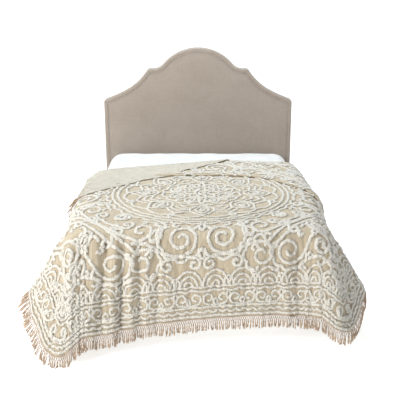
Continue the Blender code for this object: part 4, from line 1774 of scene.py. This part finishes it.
    def _visible_runs(self, line: Array) -> list[tuple[Array, bool]]:
        """Cuts one line of the pattern at even steps and leaves out what the tuck and the flap hide.

        Args:
            line: The line, in pattern places.

        Returns:
            (places on the flat cloth, whether they close) of each stretch.
        """
        flat, closed = self._stepped(line)
        shown = ~self.drape.hidden(*flat.T) & (flat[:, 1] < self.drape.head_hem - self.hem_bare)
        if shown.all():
            return [(flat, closed)]
        if closed and shown.any():
            first = int(np.argmin(shown))
            flat, shown = np.roll(flat, -first, 0), np.roll(shown, -first)
        return [(flat[kept], False) for kept in stretches(shown)]

    @staticmethod
    def _uneven(chance: Chance, spread: float, shape: Union[int, tuple[int, int]]) -> Array:
        """Sizes near 1 that stray from it by about the spread."""
        return 1 + spread * chance.standard_normal(shape).clip(-1.6, 1.6)

    def _rope(self, bundle: Bundle, flat: Array, closed: bool, wide: float, chance: Chance) -> None:
        """Lays one rope of cut pile along a stretch of the cloth.

        Args:
            bundle: Where it is gathered.
            flat: Places on the flat cloth.
            closed: Whether the stretch closes.
            wide: The rope's width.
            chance: Where its unevenness comes from.
        """
        angles = np.linspace(0, pi, 5)
        section = join([circle(angles), [(0.0, -0.12)]])
        place, out = self.drape.at(*flat.T), self.drape.out(*flat.T)
        count = len(flat)
        tuft = 1 + self.tuft_swing * np.where(np.arange(count) % 2, 1.0, -1.0)
        width = wide / 2 * tuft * self._uneven(chance, self.width_spread, count)
        height = (self.height_share[0] * self.rope_height + self.height_share[1] * wide) * tuft
        height = height * self._uneven(chance, self.height_spread, count)
        if not closed:
            width[[0, -1]] *= self.end_size
            height[[0, -1]] *= self.end_size
        lumps = self._uneven(chance, self.lump_spread, (count, len(section)))
        sizes = np.stack([width[:, None] * lumps, height[:, None] * np.roll(lumps, 2, 1)], -1)
        path = place + out * (self.cloth / 2)
        sideways = np.cross(unit(np.gradient(path, axis=0)), out)
        path = path + sideways * (self.sway_spread * chance.standard_normal(count).clip(-1.5, 1.5))[:, None]
        bundle.tube(path, out, section, sizes, closed)

    def build(self, face: WovenCotton, reverse: WovenCotton, yarn: ChenilleYarn, fringe: FringeYarn) -> None:
        """Builds and dresses the whole bedspread.

        Args:
            face: The ground's right side.
            reverse: Its wrong side.
            yarn: The tufting's yarn.
            fringe: The fringe's yarn.
        """
        ground = self.ground(face.material(), reverse.material())
        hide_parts("bedspread_cloth")
        thread = WovenCotton("stitch_cotton", (0.6, 0.56, 0.48), (0.5, 0.46, 0.38), crinkle=0.2).material()
        tufting = [*self.tufting(yarn.material()), self.stitches(thread)]
        knotted = Fringe(self.drape).build(fringe.material())


# -- The bed --


@dataclass
class CoveredBlock:
    """A soft-edged block under a cover, such as a mattress in its fitted sheet."""

    name: str
    half_x: float
    half_y: float
    bottom: float
    top: float
    corner: float
    top_round: float
    bottom_round: float
    wrinkle: float
    seam: float
    fill: float
    corner_steps: int = 12
    side_steps: int = 56
    centre_gap: float = 0.01
    least_radius: float = 0.004
    side_band: float = 0.05
    waves: int = 26
    wave_sizes: Pair = (14, 46)

    def build(self, cover: Material, node: str, slot: str) -> None:
        """Args:
            cover: Its finish.
            node: The node of the frame that it stands for.
            slot: Not used.
        """
        points = self._settle(np.stack([self._ring(inset, height) for inset, height in self._profile()]))
        count = points.shape[1]
        faces = list(grid_faces(len(points), count, close_columns=True))
        faces += [list(range(count))[::-1], list(range((len(points) - 1) * count, len(points) * count))]
        made = new_piece(self.name, points.reshape(-1, 3), faces)
        face_outwards(made)
        finish_piece(made, cover)
        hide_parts(node)

    def _ring(self, inset: float, height: float) -> Array:
        """Points round the block, anticlockwise, as many at every inset.

        Args:
            inset: How far inside the block's plan they lie.
            height: How high they are.

        Returns:
            The points.
        """
        half_x, half_y = self.half_x - inset, self.half_y - inset
        radius = min(max(self.corner - inset, self.least_radius), half_x, half_y)
        turn = np.linspace(0, 1, self.corner_steps + 1)
        share = np.linspace(0, 1, self.side_steps + 1)[1:-1, None]
        corners, plan = [], []
        for k, signs in enumerate(((1, 1), (-1, 1), (-1, -1), (1, -1))):
            centre = np.array(signs) * (half_x - radius, half_y - radius)
            corners.append(centre + radius * circle(pi / 2 * (k + turn)))
        for corner, after in zip(corners, corners[1:] + corners[:1]):
            plan += [corner, corner[-1] + (after[0] - corner[-1]) * share]
        plan = join(plan)
        return np.column_stack([plan, np.full(len(plan), height)])

    def _profile(self) -> list[tuple[float, float]]:
        """(inset, height) from the middle of the underside, round the side, to the middle of the top.

        Returns:
            The pairs, in order.
        """
        furthest = min(self.half_x, self.half_y) - self.centre_gap
        under = [(inset, self.bottom) for inset in np.linspace(furthest, self.bottom_round, 8)]
        angle = np.linspace(0, pi / 2, 6)[1:]
        low = self.bottom_round
        lower = [(low - low * math.sin(a), self.bottom + low - low * math.cos(a)) for a in angle]
        high = self.top_round
        side = [(0.0, z) for z in np.linspace(self.bottom + low, self.top - high, 9)[1:]]
        angle = np.linspace(0, pi / 2, 10)[1:]
        upper = [(high - high * math.cos(a), self.top - high + high * math.sin(a)) for a in angle]
        over = [(inset, self.top) for inset in np.linspace(high, furthest, 26)[1:]]
        return under + lower + side + upper + over

    def _settle(self, points: Array) -> Array:
        """Pulls the cover in at random by up to the wrinkle's depth, and raises a seam down each corner.

        Args:
            points: The smooth block's points, ring by ring.

        Returns:
            The settled points.
        """
        chance = np.random.default_rng(SEED + 3)
        pull = np.zeros(points.shape[:2])
        x, y, z = points[..., 0], points[..., 1], points[..., 2]
        for _ in range(self.waves):
            way, phase = chance.uniform(0, 2 * pi), chance.uniform(0, 2 * pi)
            size = chance.uniform(*self.wave_sizes)
            run = x * math.cos(way) + y * math.sin(way) + 0.8 * z * math.sin(phase)
            pull += 0.5 + 0.5 * np.sin(size * run + phase)
        pull = smooth_step((pull / self.waves - 0.38) / 0.24) * self.wrinkle
        in_x, in_y = self.half_x - np.abs(x), self.half_y - np.abs(y)
        on_side = np.minimum(in_x, in_y) < self.side_band
        seam = np.exp(-((np.arctan2(in_y, in_x) - pi / 4) ** 2) / 0.006)
        seam *= smooth_step((self.corner - np.hypot(in_x, in_y)) / 0.05)
        pull -= self.seam * seam * on_side
        middle = np.array([0.0, 0.0, (self.bottom + self.top) / 2])
        inward = unit((middle - points) * (1.0, 1.0, 3.0))
        inward[~on_side] = np.stack([0 * z, 0 * z, np.sign(middle[2] - z)], -1)[~on_side]
        return points + inward * np.maximum(pull, -self.seam)[..., None]


@dataclass
class Headboard:
    """An upholstered headboard: a padded panel with an arched top, a welted border and a flat back."""

    front: float = 1.028
    thickness: float = 0.075
    bottom: float = 0.35
    half_width: float = 0.817
    top: float = 1.645
    # the outline, in x and z
    arch_radius: float = 0.39
    arch_half_angle: float = math.radians(49)
    notch: Pair = (0.345, 1.47)
    ledge: Pair = (0.375, 1.468)
    ledge_handles: tuple[Pair, Pair] = ((0.405, 1.467), (0.425, 1.472))
    tip: Pair = (0.436, 1.457)
    sweep_handles: tuple[Pair, Pair] = ((0.53, 1.315), (0.645, 1.264))
    sweep_end: Pair = (0.795, 1.207)
    corner_radius: float = 0.03
    # the padding
    round: float = 0.009
    border: float = 0.033
    crown: float = 0.006
    groove: float = 0.0022
    welt: float = 0.0026
    welt_step: float = 0.006
    border_swell: float = 0.0022
    groove_width: float = 0.0032
    slack: float = 0.0006
    # the mesh
    columns: int = 300
    rows: int = 190
    rim: float = 0.016
    rim_steps: tuple[float, ...] = (0.0, 0.0007, 0.0018, 0.0035, 0.0055, 0.008, 0.0105, 0.0135)

    @staticmethod
    def _arc(centre: Pair, radius: float, start: float, end: float, steps: int) -> Array:
        """Points from one angle to the other, measured from +X towards +Z."""
        return centre + radius * circle(np.linspace(start, end, steps + 1))

    @staticmethod
    def _curve(start: Pair, first: Pair, second: Pair, end: Pair, steps: int) -> Array:
        """Points on a cubic curve from start to end, with its two handles.

        Args:
            start: Where it starts.
            first: The handle of its start.
            second: The handle of its end.
            end: Where it ends.
            steps: How many steps it has.

        Returns:
            Its points.
        """
        t = np.linspace(0, 1, steps + 1)[:, None]
        ends = (1 - t) ** 3 * np.array(start) + t**3 * np.array(end)
        return ends + 3 * t * (1 - t) ** 2 * np.array(first) + 3 * t * t * (1 - t) * np.array(second)

    def outline(self) -> Array:
        """The panel's outline (x, z), from its bottom left corner over the arch to its bottom right corner.

        Returns:
            Its points.
        """
        up, radius = pi / 2, self.arch_radius
        arch = self._arc((0, self.top - radius), radius, up, up - self.arch_half_angle, 60)
        x, z = arch[-1]
        parts = [
            arch,
            self._curve((x, z), (x + 0.022, z - 0.026), self.notch, self.ledge, 24)[1:],
            self._curve(self.ledge, *self.ledge_handles, self.tip, 16)[1:],
            self._curve(self.tip, *self.sweep_handles, self.sweep_end, 60)[1:],
            self._arc((self.half_width - self.corner_radius, self.sweep_end[1] - self.corner_radius),
                      self.corner_radius, math.radians(62), 0, 8),
            np.array([[self.half_width, self.bottom]]),
        ]
        right = join(parts)
        return join([right[:0:-1] * (-1, 1), right])

    def _edge_distance(self, points: Array, outline: Array) -> Array:
        """How far each point is from the outline, which closes along the bottom.

        Args:
            points: The points (x, z).
            outline: The outline.

        Returns:
            Their distances.
        """
        nearest = np.full(len(points), np.inf)
        closed = join([outline, outline[:1]])
        for start, end in zip(closed, closed[1:]):
            span = end - start
            share = np.clip(((points - start) @ span) / max(span @ span, 1e-12), 0, 1)
            nearest = np.minimum(nearest, np.linalg.norm(points - start - share[:, None] * span, axis=1))
        return nearest

    def _front(self, distance: Array, x: Array, z: Array) -> Array:
        """How far the padded front stands off its back plane, from the distance to the edge.

        Args:
            distance: How far each point is from the edge.
            x: Its place across.
            z: Its height.

        Returns:
            How far it stands off.
        """
        edge = np.sqrt(np.maximum(1 - (1 - np.clip(distance / self.round, 0, 1)) ** 2, 0)) * self.round
        across = np.clip(distance / self.border, 0, 1)
        border = self.border_swell * np.sin(pi * across)
        field = self.crown * smooth_step((distance - self.border) / 0.1) ** 0.7
        groove = self.groove * np.exp(-(((distance - self.border) / self.groove_width) ** 2))
        ease = self.slack * np.sin(41 * x + 3 * np.sin(9 * z)) * np.sin(23 * z)
        ease = ease * smooth_step((distance - 0.06) / 0.05)
        padding = np.where(distance < self.border, border, field)
        return edge + padding - groove + ease - self.round - self.crown

    def build(self, linen: Material, welt: Material) -> None:
        """Builds the panel and its welt.

        Args:
            linen: The panel's finish.
            welt: The welt's finish.
        """
        outline = self.outline()
        rim = self.half_width - np.array(self.rim_steps[::-1])
        inner = np.linspace(-1, 1, self.columns + 1) * (self.half_width - self.rim)
        x = join([-rim[::-1], inner, rim])
        top = np.interp(x, outline[:, 0], outline[:, 1])
        steps, share = np.array(self.rim_steps)[:, None], np.linspace(0, 1, self.rows + 1)[:, None]
        low = np.broadcast_to(self.bottom + steps, (len(steps), len(x)))
        field_z = self.bottom + self.rim + (top - self.rim - self.bottom - self.rim) * share
        z = join([low, field_z, top - steps[::-1]])
        flat = np.stack([np.broadcast_to(x, z.shape).ravel(), z.ravel()], 1)
        depth = self._front(self._edge_distance(flat, outline), flat[:, 0], flat[:, 1])
        points = np.stack([flat[:, 0], self.front - (depth + self.crown), flat[:, 1]], 1)
        made = finish_piece(self._close(points, z.shape), linen)
        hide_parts("headboard_panel")
        self._welt(outline, welt)

    def _close(self, points: Array, shape: tuple[int, int]) -> Piece:
        """Adds the side wall and the flat back to the panel's front.

        Args:
            points: The front's points, row by row.
            shape: How many rows and columns they are in.

        Returns:
            The panel.
        """
        rows, columns = shape
        number = np.arange(rows * columns).reshape(shape)
        rim = join([number[0, :-1], number[:-1, -1], number[-1, :0:-1], number[:0:-1, 0]])
        back = self.front + self.thickness
        walls, total = [points], len(points)
        rings = [rim]
        middle = np.array([0.0, 0.0, 0.95])
        for depth, inset in ((back - 0.03, 0.0), (back - 0.006, 0.0), (back - 0.0018, 0.0018), (back, 0.006)):
            ring = points[rim].copy()
            toward = middle - ring
            toward[:, 1] = 0
            ring += unit(toward) * inset
            ring[:, 1] = depth
            walls.append(ring)
            rings.append(np.arange(len(rim)) + total)
            total += len(rim)
        faces = list(grid_faces(rows, columns))
        for near, far in zip(rings, rings[1:]):
            faces += list(np.stack([near, np.roll(near, -1), np.roll(far, -1), far], 1))
        faces.append(rings[-1])
        made = new_piece("headboard_upholstery", join(walls), faces)
        face_outwards(made)
        return made

    def _welt(self, outline: Array, finish: Material) -> None:
        """The covered cord in the seam between the border and the field.

        Args:
            outline: The panel's outline.
            finish: The cord's finish.
        """
        inner = self._inset(outline)
        run = run_along(inner)
        count = int(run[-1] / self.welt_step)
        places = np.linspace(0, run[-1], count, endpoint=False)
        flat = read_line(places, run, inner)
        path = np.stack([flat[:, 0], np.full(count, self.front - 0.0012), flat[:, 1]], 1)
        bundle = Bundle()
        over = np.broadcast_to((0.0, -1.0, 0.0), path.shape)
        section = circle(np.linspace(0, 2 * pi, 8, endpoint=False))
        bundle.tube(path, over, section, np.full((count, 2), self.welt), closed=True)
        made = finish_piece(bundle.piece("headboard_welt_cord"), finish)
        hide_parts("headboard_welt")

    def _inset(self, outline: Array) -> Array:
        """The outline moved in by the border, without loops at its tight corners, closed.

        Args:
            outline: The outline.

        Returns:
            The points of the line inside it.
        """
        ahead = unit(np.roll(outline, -1, 0) - outline)
        along = unit(ahead + np.roll(ahead, 1, 0))
        inward = np.stack([along[:, 1], -along[:, 0]], 1)
        spread = self.border / np.maximum((along * ahead).sum(1), 0.6)
        moved = outline + inward * spread[:, None]
        kept = moved[self._edge_distance(moved, outline) > self.border * 0.985]
        return join([kept, kept[:1]])


class Lamp(NamedTuple):
    """A soft square light: its place, what it points at, its side in metres, its watts and its colour."""

    name: str
    place: Triple
    aim: Triple
    size: float
    watts: float
    colour: Colour


WARM, COOL, SKYLIGHT, WHITE = (1.0, 0.985, 0.96), (0.97, 0.98, 1.0), (0.84, 0.93, 1.0), (1.0, 1.0, 1.0)
LAMPS = (
    Lamp("key", (-4.3, -4.0, 3.7), (-0.1, -0.3, 0.6), 2.4, 246.0, WARM),
    Lamp("side", (-3.1, -2.7, 1.7), (-0.9, -1.1, 0.35), 1.9, 34.0, WARM),
    Lamp("fill", (3.8, -3.4, 2.6), (0.2, -0.6, 0.5), 2.6, 2.0, COOL),
    Lamp("overhead", (0.0, 0.6, 4.6), (0.0, 0.3, 0.7), 2.0, 148.0, SKYLIGHT),
)


@dataclass
class Studio:
    """A pale floor that glows with painted light, soft light from the front left, and the camera."""

    eye: Triple = (0.018, -5.405, 2.305)
    tilt: float = math.radians(72.6)
    lens: float = 67.0
    sensor: float = 36.0
    sky: float = 0.51
    floor_side: float = 240.0
    floor_glow: float = 0.8

    def camera(self) -> None:
        """Adds the camera and makes it the scene's."""
        data = bpy.data.cameras.new("camera")
        data.lens, data.sensor_width = self.lens, self.sensor
        made = add_object("camera", data)
        made.location, made.rotation_euler = self.eye, (self.tilt, 0.0, 0.0)
        bpy.context.scene.camera = made

    def light(self, lamp: Lamp) -> None:
        """Adds one soft square light.

        Args:
            lamp: The light.
        """
        data = bpy.data.lights.new(lamp.name, "AREA")
        data.size, data.energy, data.color = lamp.size, lamp.watts, lamp.colour
        made = add_object(lamp.name, data)
        made.location = lamp.place
        made.rotation_euler = (Vector(lamp.aim) - Vector(lamp.place)).to_track_quat("-Z", "Y").to_euler()

    def floor(self) -> None:
        """Lays the floor, which glows with painted light that fades to white far out."""
        bpy.ops.object.select_all(action="DESELECT")
        bpy.ops.mesh.primitive_plane_add(size=self.floor_side, location=(0, 0, 0))
        floor = bpy.context.object
        floor.name = "studio_floor"
        constants = {"Roughness": 0.9, "Specular IOR Level": 0.1, "Emission Strength": self.floor_glow}
        shader = Shader("studio_floor", constants)
        grain = shader.noise(shader.place(), 3.0)
        across, along, _ = shader.axes(shader.place())
        # painted light: the floor glows, pale grey near the bed and white far out, and lights the bed from
        # below
        far = (across * across + along * along).rise(4.0, 50.0)
        shader.feed("Emission Color", shader.blend(far, (0.72, 0.72, 0.72), WHITE))
        shader.feed("Base Color", shader.blend(grain, (0.9, 0.9, 0.895), (0.93, 0.93, 0.925)))
        floor.data.materials.append(shader.material)

    def build(self) -> None:
        """Builds the stage, the light and the colour management."""
        self.floor()
        world = bpy.data.worlds.new("studio")
        world.use_nodes = True
        backdrop = world.node_tree.nodes["Background"]
        backdrop.inputs["Color"].default_value = (*WHITE, 1.0)
        backdrop.inputs["Strength"].default_value = self.sky
        bpy.context.scene.world = world
        for lamp in LAMPS:
            self.light(lamp)
        bpy.context.scene.view_settings.view_transform = "Standard"
        bpy.context.scene.view_settings.look = "None"
        self.camera()


def block_sizes(node: str) -> tuple[float, float, float, float]:
    """(half its width, half its length, its underside, its top) of a block of the frame."""
    low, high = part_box(node)
    return high[0], (high[1] - low[1]) / 2, low[2], high[2]


def dress_node(name: str, material: Material) -> None:
    """Gives a node of the frame its finish.

    Args:
        name: The node.
        material: Its finish.
    """
    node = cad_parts[name]
    for slot in node.material_slots:
        slot.material = material
    log.info("%s: dressed", name)


def main() -> None:
    """Builds every sub-assembly in order."""
    logging.basicConfig(level=logging.INFO, format="%(name)s: %(message)s")
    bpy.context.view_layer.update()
    Studio().build()
    Bedspread(Drape(), TuftPattern()).build(
        WovenCotton("cotton_ground", (0.542, 0.47, 0.352), (0.406, 0.334, 0.236), crinkle=1.7),
        WovenCotton("cotton_reverse", (0.6, 0.562, 0.475), (0.49, 0.452, 0.37), crinkle=1.8),
        ChenilleYarn(),
        FringeYarn(),
    )
    mattress = CoveredBlock("mattress_in_sheet", *block_sizes("mattress"), corner=0.13, top_round=0.1,
                            bottom_round=0.035, wrinkle=0.004, seam=0.0015, fill=0.9)
    mattress.build(SheetCotton("fitted_sheet").material(), "mattress", "white_cover")
    foundation = CoveredBlock("foundation_covered", *block_sizes("foundation"), corner=0.035, top_round=0.014,
                              bottom_round=0.014, wrinkle=0.0015, seam=0.001, fill=1.0)
    cover = SheetCotton("foundation_cover", (0.7, 0.68, 0.63), (0.6, 0.58, 0.53))
    foundation.build(cover.material(), "foundation", "foundation_cover")
    Headboard().build(
        Upholstery("headboard_linen", (0.34, 0.292, 0.25), (0.262, 0.221, 0.185)).material(),
        Upholstery("welt_linen", (0.34, 0.291, 0.247), (0.268, 0.226, 0.186)).material(),
    )
    steel, timber = CoatedSteel().material(), StainedTimber().material()
    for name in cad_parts:
        if name.startswith(("rail_", "leg_")):
            dress_node(name, steel)
        elif name.startswith("headboard_strut"):
            dress_node(name, timber)


if __name__ == "__main__":
    main()
